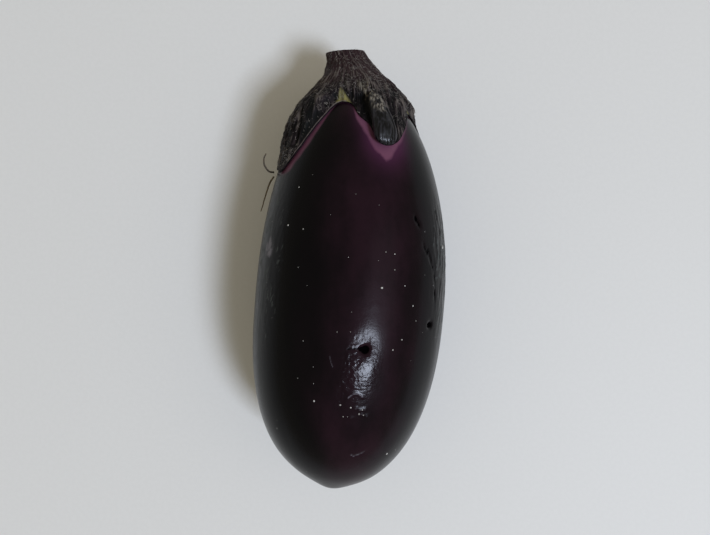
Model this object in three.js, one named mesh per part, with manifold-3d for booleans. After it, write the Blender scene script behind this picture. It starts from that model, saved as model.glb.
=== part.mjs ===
// An eggplant lying on its side, with its calyx, its cut stem, a sepal tip that has rolled back
// and two dry fibres.
// Millimetres, +Z up. The fruit lies along Y with its stem towards +Y, and X runs across it.
// The origin is the middle of the small flat spot that the fruit rests on, under its centre of mass.

import * as THREE from 'three';
import { ParametricGeometry } from 'three/addons/geometries/ParametricGeometry.js';
import { mergeVertices } from 'three/addons/utils/BufferGeometryUtils.js';
import Module from 'manifold-3d';

// Fruit: round across, blunt at the blossom end and egg-shaped towards the stem.
const FRUIT_RADIUS = 32;
const WIDEST_Y = -4.3;
const BLOSSOM_LENGTH = 62;
const BLOSSOM_FULLNESS = 2.55;
const SHOULDER_LENGTH = 75;
const SHOULDER_FULLNESS = 2.1;

// The fruit's centre line bows sideways and sinks a little towards the stem.
const BOW = 3.4;
const BOW_MIDDLE_Y = -19;
const BOW_LENGTH = 44;
const AXIS_FALL = 0.0193;
const AXIS_HEIGHT = 31.46;
const FLOOR_BLOCK = 120;

// Calyx: a leathery cap over the shoulder, with pointed lobes.
const GAP = 0.3;
const NECK_Y = 73;
const CALYX_RIM = 0.9;
const RIM_STARTS = 0.72;
const EDGE_TENSION = 0.35;
// Outer radius about the fruit's axis at a place along it, from the neck down the lobes.
const CALYX_OUTLINE = [[73, 10.1], [69, 13.6], [65, 17.2], [60.5, 20.7], [54, 23.3], [45, 25.9], [33, 29.4]];
// The cap stands proud on the side of its broad lobe and lies close on the other side.
const CALYX_SWELL = 0.2;
const CALYX_SIDEWAYS = 1.35;
const CALYX_SWELL_FROM_Y = 44;
const CALYX_SWELL_FULL_Y = 53;
const CALYX_SWELL_TO_Y = 71;
// Edge of the calyx: degrees round the fruit from its top towards +X, and the place along it.
const CALYX_EDGE = [
  [-10, 59.7], [-21, 59], [-33, 53], [-44.5, 45.2], [-57, 39.3], [-64, 38.2], [-76, 41], [-92, 41],
  [-110, 51], [-125, 57.5], [-139, 52.5], [-160, 42.5], [-178, 50], [-200, 58], [-222, 50], [-240, 44.5],
  [-262, 50.5], [-276, 56.3], [-294, 57.9], [-307, 55], [-319, 50.3], [-329, 46], [-338, 44.7],
  [-344, 46.8], [-349, 51.8], [-355.5, 54], [-362, 58.2],
];

// Stem: a short stub, cut slightly askew.
const STEM_LEAN = -3.3;
const STEM_LEAN_FROM_Y = 67;
const LEAN_POWER = 1.5;
const STEM_OUTLINE = [[73.3, 9.9], [74.4, 9.4], [76.4, 8.1], [78.2, 7], [79.5, 6.6]];
const STEM_EDGE = 6;
const STEM_CUT_Y = 79.8;
const STEM_SKEW = 0.15;

// Rolled sepal tip, lying on the lobe beside the notch on the upper side.
const ROLL_START = { degrees: 15, y: 62 };
const ROLL_END = { degrees: 20.5, y: 44 };
const ROLL_HALF_WIDTH = 3.5;
const ROLL_THICKNESS = 2.9;
const ROLL_FOOT = 0.35;
const ROLL_UPPER_WIDTH = 0.8;
const ROLL_BLUNTNESS = 5;

// Dry fibres at the tip of the broad lobe.
const FIBRE_RADIUS = 0.3;
const FIBRE_ARC_STEPS = 3;
const CURLED_FIBRE = [
  [-26.1, 39.3, 33.4], [-27.6, 39.5, 34.6], [-28.8, 41.2, 35.6], [-29, 43.4, 36.2], [-28.3, 45, 36.2],
];
const STRAIGHT_FIBRE = [[-26.4, 38.2, 31.2], [-28, 35, 31.6], [-29.7, 30, 31], [-30.9, 26.3, 30]];
const FIBRE_STEPS_PER_POINT = 4;

const FRUIT_SIDES = 60;
const FRUIT_RINGS = 36;
const CALYX_SIDES = 96;
const CALYX_RINGS = 9;
const STEM_SIDES = 40;
const ROLL_SIDES = 20;
const ROLL_RINGS = 16;

// Numerical steps: turns of the outline in radians, halvings of a search, and the weld distance.
const TURN_STEP = 1e-3;
const HALVINGS = 30;
const WELD = 1e-3;

const wasm = await Module();
wasm.setup();

const mix = (a, b, t) => a + (b - a) * t;

const smooth = (t) => {
  const s = Math.min(Math.max(t, 0), 1);
  return s * s * (3 - 2 * s);
};

// Sideways place and height of the fruit's centre line.
const bowAt = (y) => BOW * Math.tanh((y - BOW_MIDDLE_Y) / BOW_LENGTH);
const axisX = (y) => bowAt(y) - bowAt(0);
const axisZ = (y) => AXIS_HEIGHT - AXIS_FALL * y;

// A point at a radius and an angle round the centre line. The angle is from the top towards +X.
function around(angle, y, radius, target = new THREE.Vector3()) {
  return target.set(axisX(y) + radius * Math.sin(angle), y, axisZ(y) + radius * Math.cos(angle));
}

function fruitRadius(y) {
  const towardsStem = y > WIDEST_Y;
  const length = towardsStem ? SHOULDER_LENGTH : BLOSSOM_LENGTH;
  const fullness = towardsStem ? SHOULDER_FULLNESS : BLOSSOM_FULLNESS;
  const t = Math.min(Math.abs(y - WIDEST_Y) / length, 1);
  return FRUIT_RADIUS * Math.sqrt(1 - t ** fullness);
}

// Place along the fruit at a turn of its outline, from -90 degrees at the blossom end to +90 at the
// top of the shoulder.
function fruitPlace(turn) {
  const towardsStem = turn > 0;
  const length = towardsStem ? SHOULDER_LENGTH : BLOSSOM_LENGTH;
  const fullness = towardsStem ? SHOULDER_FULLNESS : BLOSSOM_FULLNESS;
  return WIDEST_Y + Math.sign(turn) * length * Math.sin(Math.abs(turn)) ** (2 / fullness);
}

// Turn of the outline at a place along the shoulder.
const shoulderTurn = (y) => Math.asin(((y - WIDEST_Y) / SHOULDER_LENGTH) ** (SHOULDER_FULLNESS / 2));

// A point on the fruit's skin, or a little above it along its normal.
function skin(angle, turn, above = 0, target = new THREE.Vector3()) {
  const low = Math.max(turn - TURN_STEP, -Math.PI / 2);
  const high = Math.min(turn + TURN_STEP, Math.PI / 2);
  const along = fruitPlace(high) - fruitPlace(low);
  const across = fruitRadius(fruitPlace(high)) - fruitRadius(fruitPlace(low));
  const length = Math.hypot(along, across);
  const y = fruitPlace(turn);
  return around(angle, y - (across / length) * above, fruitRadius(y) + (along / length) * above, target);
}

// How far the neck and the stem have leaned sideways off the centre line at a place along it.
function lean(y) {
  const share = Math.max(y - STEM_LEAN_FROM_Y, 0) / (STEM_CUT_Y - STEM_LEAN_FROM_Y);
  return STEM_LEAN * share ** LEAN_POWER;
}

// Radius of the calyx's smooth outline at a place along the fruit, found by halving.
const calyxOutline = new THREE.SplineCurve(
  CALYX_OUTLINE.map(([y, radius]) => new THREE.Vector2(y, radius)),
);

function outlineRadius(y) {
  let low = 0;
  let high = 1;
  for (let i = 0; i < HALVINGS; i += 1) {
    const middle = (low + high) / 2;
    if (calyxOutline.getPoint(middle).x > y) low = middle;
    else high = middle;
  }
  return calyxOutline.getPoint(low).y;
}

// Outer radius of the calyx about the fruit's centre line.
function calyxRadius(angle, y) {
  const swollen = y > CALYX_SWELL_FULL_Y
    ? smooth((CALYX_SWELL_TO_Y - y) / (CALYX_SWELL_TO_Y - CALYX_SWELL_FULL_Y))
    : smooth((y - CALYX_SWELL_FROM_Y) / (CALYX_SWELL_FULL_Y - CALYX_SWELL_FROM_Y));
  return outlineRadius(y) + swollen * (CALYX_SWELL - CALYX_SIDEWAYS * Math.sin(angle));
}

// Welds a surface's seams and poles, so that it is one closed body.
function welded(geometry) {
  geometry.deleteAttribute('normal');
  geometry.deleteAttribute('uv');
  return mergeVertices(geometry, WELD);
}

function toSolid(geometry) {
  const merged = welded(geometry);
  return new wasm.Manifold(new wasm.Mesh({
    numProp: 3,
    vertProperties: new Float32Array(merged.attributes.position.array),
    triVerts: new Uint32Array(merged.index.array),
  }));
}

function toGeometry(solid) {
  const mesh = solid.getMesh();
  const geometry = new THREE.BufferGeometry();
  geometry.setAttribute('position', new THREE.BufferAttribute(mesh.vertProperties, 3));
  geometry.setIndex(new THREE.BufferAttribute(mesh.triVerts, 1));
  return geometry;
}

function named(name, geometry, color, roughness) {
  geometry.computeVertexNormals();
  const mesh = new THREE.Mesh(geometry, new THREE.MeshStandardMaterial({ color, roughness, metalness: 0 }));
  mesh.name = name;
  return mesh;
}

// The fruit, with its belly cut flat where it rests.
function fruitGeometry() {
  const whole = new ParametricGeometry(
    (u, v, target) => skin(u * 2 * Math.PI, mix(-Math.PI / 2, Math.PI / 2, v), 0, target),
    FRUIT_SIDES,
    FRUIT_RINGS,
  );
  const floor = new THREE.BoxGeometry(FLOOR_BLOCK, FLOOR_BLOCK, FLOOR_BLOCK);
  floor.translate(0, 0, -FLOOR_BLOCK / 2);
  return toGeometry(toSolid(whole).subtract(toSolid(floor)));
}

// The calyx runs from a flat neck down its outside to the lobes' edge, and back up its inside over
// the shoulder.
function calyxGeometry() {
  const edgeCurve = new THREE.CatmullRomCurve3(
    CALYX_EDGE.map(([degrees, y]) => new THREE.Vector3(degrees, y, 0)).concat(
      new THREE.Vector3(CALYX_EDGE[0][0] - 360, CALYX_EDGE[0][1], 0),
    ),
    false,
    'catmullrom',
    EDGE_TENSION,
  );
  const rows = 2 * CALYX_RINGS + 2;
  return welded(new ParametricGeometry((u, v, target) => {
    const edge = edgeCurve.getPoint(u === 1 ? 0 : u);
    const angle = THREE.MathUtils.degToRad(edge.x);
    const row = Math.round(v * rows);
    if (row <= CALYX_RINGS + 1) {
      const t = Math.max(row - 1, 0) / CALYX_RINGS;
      const y = mix(NECK_Y, edge.y, t);
      const radius = row === 0 ? 0 : calyxRadius(angle, y);
      const rim = Math.min(fruitRadius(y) + GAP + CALYX_RIM, radius);
      around(angle, y, mix(radius, rim, smooth((t - RIM_STARTS) / (1 - RIM_STARTS))), target);
      target.x += lean(y);
      return target;
    }
    const back = (rows - row) / CALYX_RINGS;
    return skin(angle, mix(Math.PI / 2, shoulderTurn(edge.y), back), GAP, target);
  }, CALYX_SIDES, rows));
}

// The stem stub, from its foot on the calyx's neck to the slightly rounded rim of the cut.
function stemGeometry() {
  const foot = STEM_OUTLINE[0][0];
  const rows = [[foot, 0], ...STEM_OUTLINE, [STEM_CUT_Y, STEM_EDGE], [STEM_CUT_Y, 0]];
  return welded(new ParametricGeometry((u, v, target) => {
    const [y, radius] = rows[Math.round(v * (rows.length - 1))];
    around(u * 2 * Math.PI, y, radius, target);
    target.y += STEM_SKEW * (target.x - axisX(y)) * smooth((y - foot) / (STEM_CUT_Y - foot));
    target.x += lean(y);
    return target;
  }, STEM_SIDES, rows.length - 1));
}

// The rolled tip is a tapering half round, blunt at its free end, that follows the lobe under it.
function rolledGeometry() {
  return welded(new ParametricGeometry((u, v, target) => {
    const y = mix(ROLL_START.y, ROLL_END.y, v);
    const middle = THREE.MathUtils.degToRad(mix(ROLL_START.degrees, ROLL_END.degrees, v));
    const blunt = Math.sqrt(Math.max(1 - Math.abs(2 * v - 1) ** ROLL_BLUNTNESS, 0));
    const size = blunt * mix(ROLL_UPPER_WIDTH, 1, v);
    const turn = u * 2 * Math.PI;
    const side = Math.cos(turn) * ROLL_HALF_WIDTH * size;
    const lift = Math.sin(turn) * (Math.sin(turn) > 0 ? ROLL_THICKNESS : ROLL_FOOT) * size;
    const lobe = calyxRadius(middle, y);
    return around(middle + side / lobe, y, lobe + GAP + ROLL_FOOT + lift, target);
  }, ROLL_SIDES, ROLL_RINGS));
}

// A fibre is a thin round thread along a smooth curve.
function fibreGeometry(points) {
  const section = new THREE.Shape();
  section.absarc(0, 0, FIBRE_RADIUS, 0, 2 * Math.PI);
  const path = new THREE.CatmullRomCurve3(points.map((point) => new THREE.Vector3(...point)));
  return new THREE.ExtrudeGeometry(section, {
    steps: FIBRE_STEPS_PER_POINT * points.length,
    curveSegments: FIBRE_ARC_STEPS,
    bevelEnabled: false,
    extrudePath: path,
  });
}

const eggplant = new THREE.Group();
eggplant.add(
  named('fruit', fruitGeometry(), 0x1d1119, 0.3),
  named('calyx', calyxGeometry(), 0x2a2426, 0.85),
  named('stem', stemGeometry(), 0x46332f, 0.9),
  named('curled_sepal', rolledGeometry(), 0x14181a, 0.35),
  named('dry_fibre_curled', welded(fibreGeometry(CURLED_FIBRE)), 0x4a3c28, 0.9),
  named('dry_fibre_straight', welded(fibreGeometry(STRAIGHT_FIBRE)), 0x7a6238, 0.9),
);

export default eggplant;
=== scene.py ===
# %% [markdown]
# # A small eggplant, lying on a pale table
#
# The eggplant is a natural thing: a glossy fruit that narrows towards its stem, a leathery calyx with
# pointed lobes, a short cut stem, one sepal tip that has dried and rolled back, and two dry fibres.
# A solid model of it, made in a CAD program, gives the sizes. It is loaded first and never changed.
# Every piece made here stands in for one of its solids and adds the detail that makes it look grown.

import math

import bmesh
import bpy
import numpy as np
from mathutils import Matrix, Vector, noise


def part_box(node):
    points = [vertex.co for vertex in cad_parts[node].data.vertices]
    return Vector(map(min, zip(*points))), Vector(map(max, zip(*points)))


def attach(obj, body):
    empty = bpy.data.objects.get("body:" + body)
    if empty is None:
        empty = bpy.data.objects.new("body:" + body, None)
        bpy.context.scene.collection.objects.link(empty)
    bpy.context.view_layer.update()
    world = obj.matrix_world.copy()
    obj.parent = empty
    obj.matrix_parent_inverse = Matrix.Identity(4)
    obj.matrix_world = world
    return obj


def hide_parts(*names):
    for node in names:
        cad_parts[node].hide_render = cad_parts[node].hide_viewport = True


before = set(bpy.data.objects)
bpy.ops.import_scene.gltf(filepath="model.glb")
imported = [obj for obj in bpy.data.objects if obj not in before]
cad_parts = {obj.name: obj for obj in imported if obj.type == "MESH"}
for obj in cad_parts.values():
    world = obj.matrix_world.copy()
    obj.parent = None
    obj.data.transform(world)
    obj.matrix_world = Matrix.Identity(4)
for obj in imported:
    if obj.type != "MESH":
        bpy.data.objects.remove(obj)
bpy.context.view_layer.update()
print("solids:", sorted(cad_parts))

# %% [markdown]
# ## Sizes
#
# The shapes below are worked out in millimetres, because a fruit is easier to think of that way, and
# are turned into Blender's metres when a mesh is made. The two ends of the fruit are read from its
# solid. The other numbers are the few that drive its outline: how wide it is, where it is widest, how
# full each half is, and how its centre line bows to one side and sinks a little towards the stem.

# %% Driving dimensions of the fruit
MM = 0.001

fruit_low, fruit_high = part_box("fruit")
BLOSSOM_END = fruit_low.y / MM
SHOULDER_END = fruit_high.y / MM
FRUIT_RADIUS = 32
BLOSSOM_LENGTH = 62
BLOSSOM_FULLNESS = 2.55
SHOULDER_FULLNESS = 2.1
WIDEST_Y = BLOSSOM_END + BLOSSOM_LENGTH
SHOULDER_LENGTH = SHOULDER_END - WIDEST_Y

BOW = 3.4
BOW_MIDDLE_Y = -19
BOW_LENGTH = 44
AXIS_FALL = 0.0193
AXIS_HEIGHT = 31.46

print(f"fruit from {BLOSSOM_END:.1f} to {SHOULDER_END:.1f} mm, widest at {WIDEST_Y:.1f} mm")

# %% [markdown]
# ## The outline as a formula
#
# A lathe-like shape needs only a radius for each place along its length. Each half is a
# superellipse: a power above 2 gives a fuller, blunter end. Places are given as y along the fruit,
# or as a turn of the outline, which spaces them evenly round the blunt ends. Working with whole numpy
# arrays moves all the points of a ring at once, which is much faster than a loop over points.


# %% Outline of the fruit
def smooth(share):
    """Eases from 0 to 1 as a share goes from 0 to 1."""
    held = np.clip(share, 0, 1)
    return held * held * (3 - 2 * held)


def bow_at(y):
    return BOW * np.tanh((y - BOW_MIDDLE_Y) / BOW_LENGTH)


def axis_x(y):
    return bow_at(y) - bow_at(0)


def axis_z(y):
    return AXIS_HEIGHT - AXIS_FALL * y


def half_of(y):
    """Length and fullness of the half of the fruit that each place is in."""
    towards_stem = y > WIDEST_Y
    length = np.where(towards_stem, SHOULDER_LENGTH, BLOSSOM_LENGTH)
    fullness = np.where(towards_stem, SHOULDER_FULLNESS, BLOSSOM_FULLNESS)
    return length, fullness


def fruit_radius(y):
    length, fullness = half_of(y)
    share = np.minimum(np.abs(y - WIDEST_Y) / length, 1)
    return FRUIT_RADIUS * np.sqrt(1 - share**fullness)


def fruit_place(turn):
    """Place along the fruit at a turn of its outline, from -90 degrees at one end to +90 at the other."""
    length, fullness = half_of(WIDEST_Y + turn)
    return WIDEST_Y + np.sign(turn) * length * np.sin(np.radians(np.abs(turn))) ** (2 / fullness)


def shoulder_turn(y):
    """Turn of the outline at a place on the stem's side."""
    return np.degrees(np.arcsin(((y - WIDEST_Y) / SHOULDER_LENGTH) ** (SHOULDER_FULLNESS / 2)))


print(f"radius half way to the blossom end: {fruit_radius(WIDEST_Y - BLOSSOM_LENGTH / 2):.1f} mm")

# %% [markdown]
# ## Points on the skin
#
# A place on the skin is named by an angle in degrees, from the top towards +X, and by its place along
# the fruit. Relief has to stand out square to the skin, so the normal is worked out as well, from two
# places a small turn apart.

# %% Points and normals on the skin
TURN_STEP = 0.06


def around(degrees, y, radius):
    """Points at an angle and a radius round the fruit's centre line."""
    angle = np.radians(degrees)
    x = axis_x(y) + radius * np.sin(angle)
    z = axis_z(y) + radius * np.cos(angle)
    return np.stack(np.broadcast_arrays(x, y, z), axis=-1)


def skin(degrees, turn, above=0.0):
    """Points on the skin, or a little above it along its normal, and the normals there."""
    low = np.clip(turn - TURN_STEP, -90, 90)
    high = np.clip(turn + TURN_STEP, -90, 90)
    along = fruit_place(high) - fruit_place(low)
    outward = fruit_radius(fruit_place(high)) - fruit_radius(fruit_place(low))
    length = np.hypot(along, outward)
    angle = np.radians(degrees)
    parts = (along * np.sin(angle), -outward + 0 * angle, along * np.cos(angle))
    normals = np.stack(np.broadcast_arrays(*parts), axis=-1) / length[..., None]
    y = fruit_place(turn)
    points = around(degrees, y, fruit_radius(y))
    return points + normals * np.asarray(above)[..., None], normals


top_point, top_normal = skin(0.0, 0.0)
print("widest place, on top:", top_point.round(1), "mm, normal", top_normal.round(2))

# %% [markdown]
# ## Noise
#
# Nothing that has grown is perfectly even. Smooth noise moves the surface by a fraction of a
# millimetre, with a size that can differ along and across the fruit. A seed moves the noise elsewhere,
# so that no two layers rise and fall together. Folding the noise at zero gives sharp crests.

# %% Noise
SEED_SHIFT = 17.3
CREST_SHARPNESS = 2.4


def lumps(points, size, seed):
    """Smooth noise from about -1 to 1 at each point. The size is that of a lump, in millimetres."""
    places = (points / np.asarray(size, float) + SEED_SHIFT * seed).reshape(-1, 3)
    values = [noise.noise(place) for place in places.tolist()]
    return np.array(values).reshape(points.shape[:-1])


def ridges(points, size, seed):
    """Sharp-crested noise from 0 to 1, as in a wrinkled skin."""
    return (1 - np.minimum(np.abs(lumps(points, size, seed)) * CREST_SHARPNESS, 1)) ** 2


def uneven(points, layers):
    """Layers of noise, each with a size, a seed and a height."""
    return sum(height * lumps(points, size, seed) for size, seed, height in layers)


print("one lump:", lumps(top_point[None], 10, 0).round(3))

# %% [markdown]
# ## Spots and lines on the skin
#
# Scratches, creases and dents are short lines or spots on the skin. Two helpers say how near any place
# is to one: 1 on the mark itself, falling softly to 0 at about its size. Multiplied by a height they
# give relief, and used as they are they tell a finish where to change.


# %% Spots and lines
def turned(degrees):
    """Brings angles back to between -180 and 180 degrees."""
    return (degrees + 180) % 360 - 180


def away_from(degrees, y, place):
    """Millimetres across and along from a place on the skin."""
    across = np.radians(turned(degrees - place[0])) * fruit_radius(np.float64(place[1]))
    return across, y - place[1]


def spot(degrees, y, place, across_size, along_size, power=2):
    """A soft spot of 1 at a place that falls to 0 at about its size."""
    across, along = away_from(degrees, y, place)
    return np.exp(-(np.hypot(across / across_size, along / along_size) ** power))


def distance_to_line(degrees, y, line):
    """Millimetres on the skin from each place to a line through (degrees, y) places."""
    nearest = np.full(np.shape(y), np.inf)
    for start, end in zip(line, line[1:]):
        across, along = away_from(degrees, y, start)
        end_across, end_along = away_from(np.float64(end[0]), np.float64(end[1]), start)
        length2 = end_across**2 + end_along**2
        share = np.clip((across * end_across + along * end_along) / length2, 0, 1)
        gap = np.hypot(across - share * end_across, along - share * end_along)
        nearest = np.minimum(nearest, gap)
    return nearest


def stroke(degrees, y, line, width):
    """A soft line of 1 that falls to 0 at about its width."""
    return np.exp(-((distance_to_line(degrees, y, line) / width) ** 2))


def strokes(degrees, y, lines):
    """Raised and sunken lines, each with its shift along the fruit, its height and its width."""
    return sum(height * stroke(degrees, y - shift, line, width) for line, shift, height, width in lines)


print("a spot 3 mm across, at 2 mm:", spot(0, 2, (0, 0), 3, 3).round(2))

# %% [markdown]
# ## From rings of points to a closed mesh
#
# The fruit, the calyx, the stem and the rolled sepal are all rings of points, one ring after another.
# One helper joins neighbouring rings with four-sided faces and closes both ends with a single point,
# so that every piece is one watertight body. The next ones turn the faces outwards and put the piece
# in the scene. Its place is in the mesh, so the object itself stays at the origin.


# %% Closed meshes
def closed_rings(name, rings, first, last):
    """A closed, smooth-shaded mesh from rings of points in millimetres, with a point at each end."""
    rows, sides, _ = rings.shape
    corners = np.concatenate([rings.reshape(-1, 3), [first, last]]) * MM
    here = np.arange(sides)
    beside = (here + 1) % sides
    faces = []
    for row in range(rows - 1):
        low, high = row * sides, (row + 1) * sides
        square = np.stack([low + here, low + beside, high + beside, high + here], axis=1)
        faces.extend(square.tolist())
    start, end, top = rows * sides, rows * sides + 1, (rows - 1) * sides
    faces.extend((start, int(b), int(a)) for a, b in zip(here, beside))
    faces.extend((end, int(top + a), int(top + b)) for a, b in zip(here, beside))
    mesh = bpy.data.meshes.new(name)
    mesh.from_pydata(corners.tolist(), [], faces)
    return face_outwards(mesh)


def face_outwards(mesh):
    """Turns every face outwards and shades the mesh smoothly."""
    shape = bmesh.new()
    shape.from_mesh(mesh)
    bmesh.ops.recalc_face_normals(shape, faces=shape.faces)
    shape.to_mesh(mesh)
    shape.free()
    mesh.shade_smooth()
    return mesh


def sharpen_ring(mesh, row, sides):
    """Marks a ring's edges sharp, so that the flat cap beside it doesn't bend the shading."""
    ring = set(range(row * sides, (row + 1) * sides))
    flags = [side.vertices[0] in ring and side.vertices[1] in ring for side in mesh.edges]
    layer = mesh.attributes.new("sharp_edge", "BOOLEAN", "EDGE")
    layer.data.foreach_set("value", flags)


def place_piece(name, mesh, material):
    """Puts a finished mesh in the scene, with its finish."""
    piece = bpy.data.objects.new(name, mesh)
    bpy.context.scene.collection.objects.link(piece)
    mesh.materials.clear()
    mesh.materials.append(material)
    print(f"{name}: {len(mesh.polygons)} faces")
    return piece

# %% [markdown]
# ## Values that a finish can read
#
# A mesh can carry a value for each of its points, and a material can read it later. That is how a
# scratch in the shape and its pale colour stay in the same place. The two points that close the ends
# take the average of the ring next to them.


# %% Values on a mesh
def keep(mesh, name, kind, field, values):
    """Stores a number or a place for each point of the rings, and for the two end points."""
    ends = [values[0].mean(axis=0), values[-1].mean(axis=0)]
    width = 3 if field == "vector" else 1
    flat = np.concatenate([values.reshape(-1, width), np.reshape(ends, (2, width))])
    layer = mesh.attributes.new(name, kind, "POINT")
    layer.data.foreach_set(field, flat.astype(np.float32).ravel())


def keep_values(mesh, marks):
    """Stores each kind of mark under its name."""
    for name, values in marks.items():
        keep(mesh, name, "FLOAT", "value", values)


def keep_places(mesh, name, places):
    """Stores places, given in millimetres, as metres."""
    keep(mesh, name, "FLOAT_VECTOR", "vector", places * MM)


print("a place 1 mm along is kept as", MM)

# %% [markdown]
# ## A smooth line through a few places
#
# Outlines and edges are given by a few places, and the line between them is a cubic that leaves each
# place in the direction of its neighbours. The tension says how far it swings out. The same helper
# draws the calyx's edge, the outlines of the calyx and the stem, the rolled sepal and the fibres.


# %% Smooth lines
def smooth_line(points, tension, per_span):
    """A smooth line through points. The first and last point only guide it."""
    places = np.array(points, float)
    shares = np.linspace(0, 1, per_span, endpoint=False)[:, None]
    spans = []
    for before, start, end, after in zip(places, places[1:], places[2:], places[3:]):
        leave = tension * (end - before)
        arrive = tension * (after - start)
        bend = 2 * start - 2 * end + leave + arrive
        lean_in = -3 * start + 3 * end - 2 * leave - arrive
        spans.append(start + shares * (leave + shares * (lean_in + shares * bend)))
    return np.concatenate(spans + [places[-2:-1]])


def evenly(line, count, scale):
    """The same line with its points at even distances, where scale turns each part into millimetres."""
    steps = np.hypot(*(np.diff(line, axis=0) * scale).T)
    walked = np.concatenate(([0], np.cumsum(steps)))
    wanted = np.linspace(0, walked[-1], count, endpoint=False)
    return np.stack([np.interp(wanted, walked, part) for part in line.T], axis=1)


bend = smooth_line([(0, 0), (1, 0), (2, 1), (3, 1)], 0.5, 4)
print("a smooth line between two of four places:", bend.round(2).tolist())

# %% [markdown]
# ## Edge of the calyx
#
# The calyx is the cap of sepals over the fruit's shoulder. Its edge runs down to the tips of the
# lobes and up into the notches between them, through the same places as in the solid model. It also
# decides where the fruit is pink: the skin under a sepal has seen no light, and a little of it shows
# as the fruit grows out from under the edge.

# %% The calyx's edge
CALYX_EDGE = [
    (-10, 59.7), (-21, 59), (-33, 53), (-44.5, 45.2), (-57, 39.3), (-64, 38.2), (-76, 41), (-92, 41),
    (-110, 51), (-125, 57.5), (-139, 52.5), (-160, 42.5), (-178, 50), (-200, 58), (-222, 50),
    (-240, 44.5), (-262, 50.5), (-276, 56.3), (-294, 57.9), (-307, 55), (-319, 50.3), (-329, 46),
    (-338, 44.7), (-344, 46.8), (-349, 51.8), (-355.5, 54), (-362, 58.2),
]
EDGE_TENSION = 0.35
EDGE_STEPS = 40
CALYX_SIDES = 420
SHOULDER_RADIUS = 22
FAR_FROM_EDGE = 60.0
EDGE_REACH = 25

last_turn = (CALYX_EDGE[-1][0] + 360, CALYX_EDGE[-1][1])
next_turn = [(degrees - 360, y) for degrees, y in CALYX_EDGE[:2]]
edge_line = smooth_line([last_turn] + CALYX_EDGE + next_turn, EDGE_TENSION, EDGE_STEPS)
edge_degrees, edge_y = evenly(edge_line, CALYX_SIDES, (math.radians(1) * SHOULDER_RADIUS, 1)).T
print(f"edge of the calyx: {CALYX_SIDES} places from y {edge_y.min():.1f} to {edge_y.max():.1f} mm")


def distance_to_edge(degrees, y):
    """Millimetres from each place to the calyx's edge, on the skin."""
    result = np.full(y.shape, FAR_FROM_EDGE)
    for row in range(len(y)):
        if y[row].max() > edge_y.min() - EDGE_REACH:
            across = np.radians(turned(degrees[row][:, None] - edge_degrees[None]))
            across = across * fruit_radius(y[row])[:, None]
            result[row] = np.hypot(across, y[row][:, None] - edge_y[None]).min(axis=1)
    return result

# %% [markdown]
# ## Marks round the pit
#
# A real fruit has a history. This one has a deep pit near the middle of its upper side, with the skin
# puckered round it and a split running off to its left. Below the pit the skin is swollen, rippled
# and finely wrinkled, and below that come a curved fold and a few bumps. Each mark is a place or a
# short line, given in degrees from the top and in millimetres along the fruit.

# %% Places round the pit
PIT = (9.7, -17.1)
PIT_SPLIT = [(8.6, -16.9), (5.5, -16.6), (3.4, -17), (1.2, -16.8)]
WRINKLED = (8, -23.5)
PUCKERED = (2.8, -23.8)
SWOLLEN = (12.8, -22.6)
RIPPLED = (9.4, -27.2)
SMALL_ARC = [(11.6, -4.9), (13.0, -4.0), (15.0, -3.9), (16.8, -4.8)]
LOW_ARC = [(3.4, -31.3), (5.4, -30.4), (7.3, -30.1), (9.4, -30.3), (11.8, -31.2)]
CUT = [(9.4, -50.2), (11.2, -50.6), (13.5, -50.3), (16.4, -49.9), (18.8, -49.4)]
SCRATCH = [(-8.3, -18.8), (-7.4, -20.6), (-6.2, -22.2)]
CRACKS = [(0.8, -17.6), (0.7, -20.8), (0, -23.5), (-0.7, -26.2), (-1, -28.3), (-1.4, -34)]
BUMPS = [(8.4, -34.6), (11.2, -35.2), (13.8, -35.0), (12.4, -36.6), (15.6, -37.2), (6.2, -37.6)]
print(f"pit at {PIT[0]} degrees, {PIT[1]} mm, with {len(BUMPS)} bumps below it")

# %% [markdown]
# ## Marks on the flanks
#
# The right flank is folded lengthwise and has a few creases, a dent and one small hole, all black with
# painted shade. The left flank is only scuffed, with a pale smudge on it.

# %% Places on the flanks
DARK_SPOT = (53.3, -10.9)
DARK_DENT = [(38.6, 22.2), (40.2, 20.7), (42, 19.9)]
FOLDED_FLANK = (68, 8)
FLANK_CREASES = [
    [(44, 14), (46, 12.4), (49, 10.2), (53, 6.8)], [(48, 12.6), (51, 8.8)],
    [(54.5, 5), (56, 0.5), (55.8, -3)], [(63.5, 19), (65, 15.5)], [(60, 26), (61.5, 22)],
    [(61, 12), (62.5, 7.5)],
]
SCUFFED_FLANK = (-60, 8)
SMUDGE = (-57.7, 13.2)
print(f"{len(FLANK_CREASES)} creases on the right flank")

# %% [markdown]
# ## Relief of the pit
#
# The pit is a round hole that tapers to the left, in the middle of a shallow dish. A ring of skin
# stands up round it, higher on its upper right, with finer rings outside it. Multiplying the distance
# from the pit by a little noise keeps the rings from looking turned on a lathe.

# %% Relief of the pit
PIT_DEPTH = 1.3
DISH_DEPTH = 0.40
DISH_RADIUS = 3.5
RING_RADIUS = 2.4
RING_WIDTH = 0.8
RING_HEIGHT = 0.03
OUTER_RADIUS = 3.8
OUTER_WIDTH = 1.6
OUTER_HEIGHT = 0.011
OUTER_SPACING = 1.3
# Each line: its places, its shift along the fruit, its height and its width in millimetres.
SPLIT_LINES = [(PIT_SPLIT, 0.6, 0.07, 0.5), (PIT_SPLIT, 0, -0.16, 0.35)]


def pit_hole(degrees, y):
    """The hole of the pit: round on the right, and tapering to the left."""
    across, along = away_from(degrees, y, PIT)
    wide = np.exp(-((np.hypot(across - 0.55, along + 0.1) / 1.25) ** 4))
    narrow = np.exp(-((np.hypot((across + 0.6) / 1.1, along - 0.1) / 0.75) ** 4))
    return np.maximum(wide, 0.8 * narrow)


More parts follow.
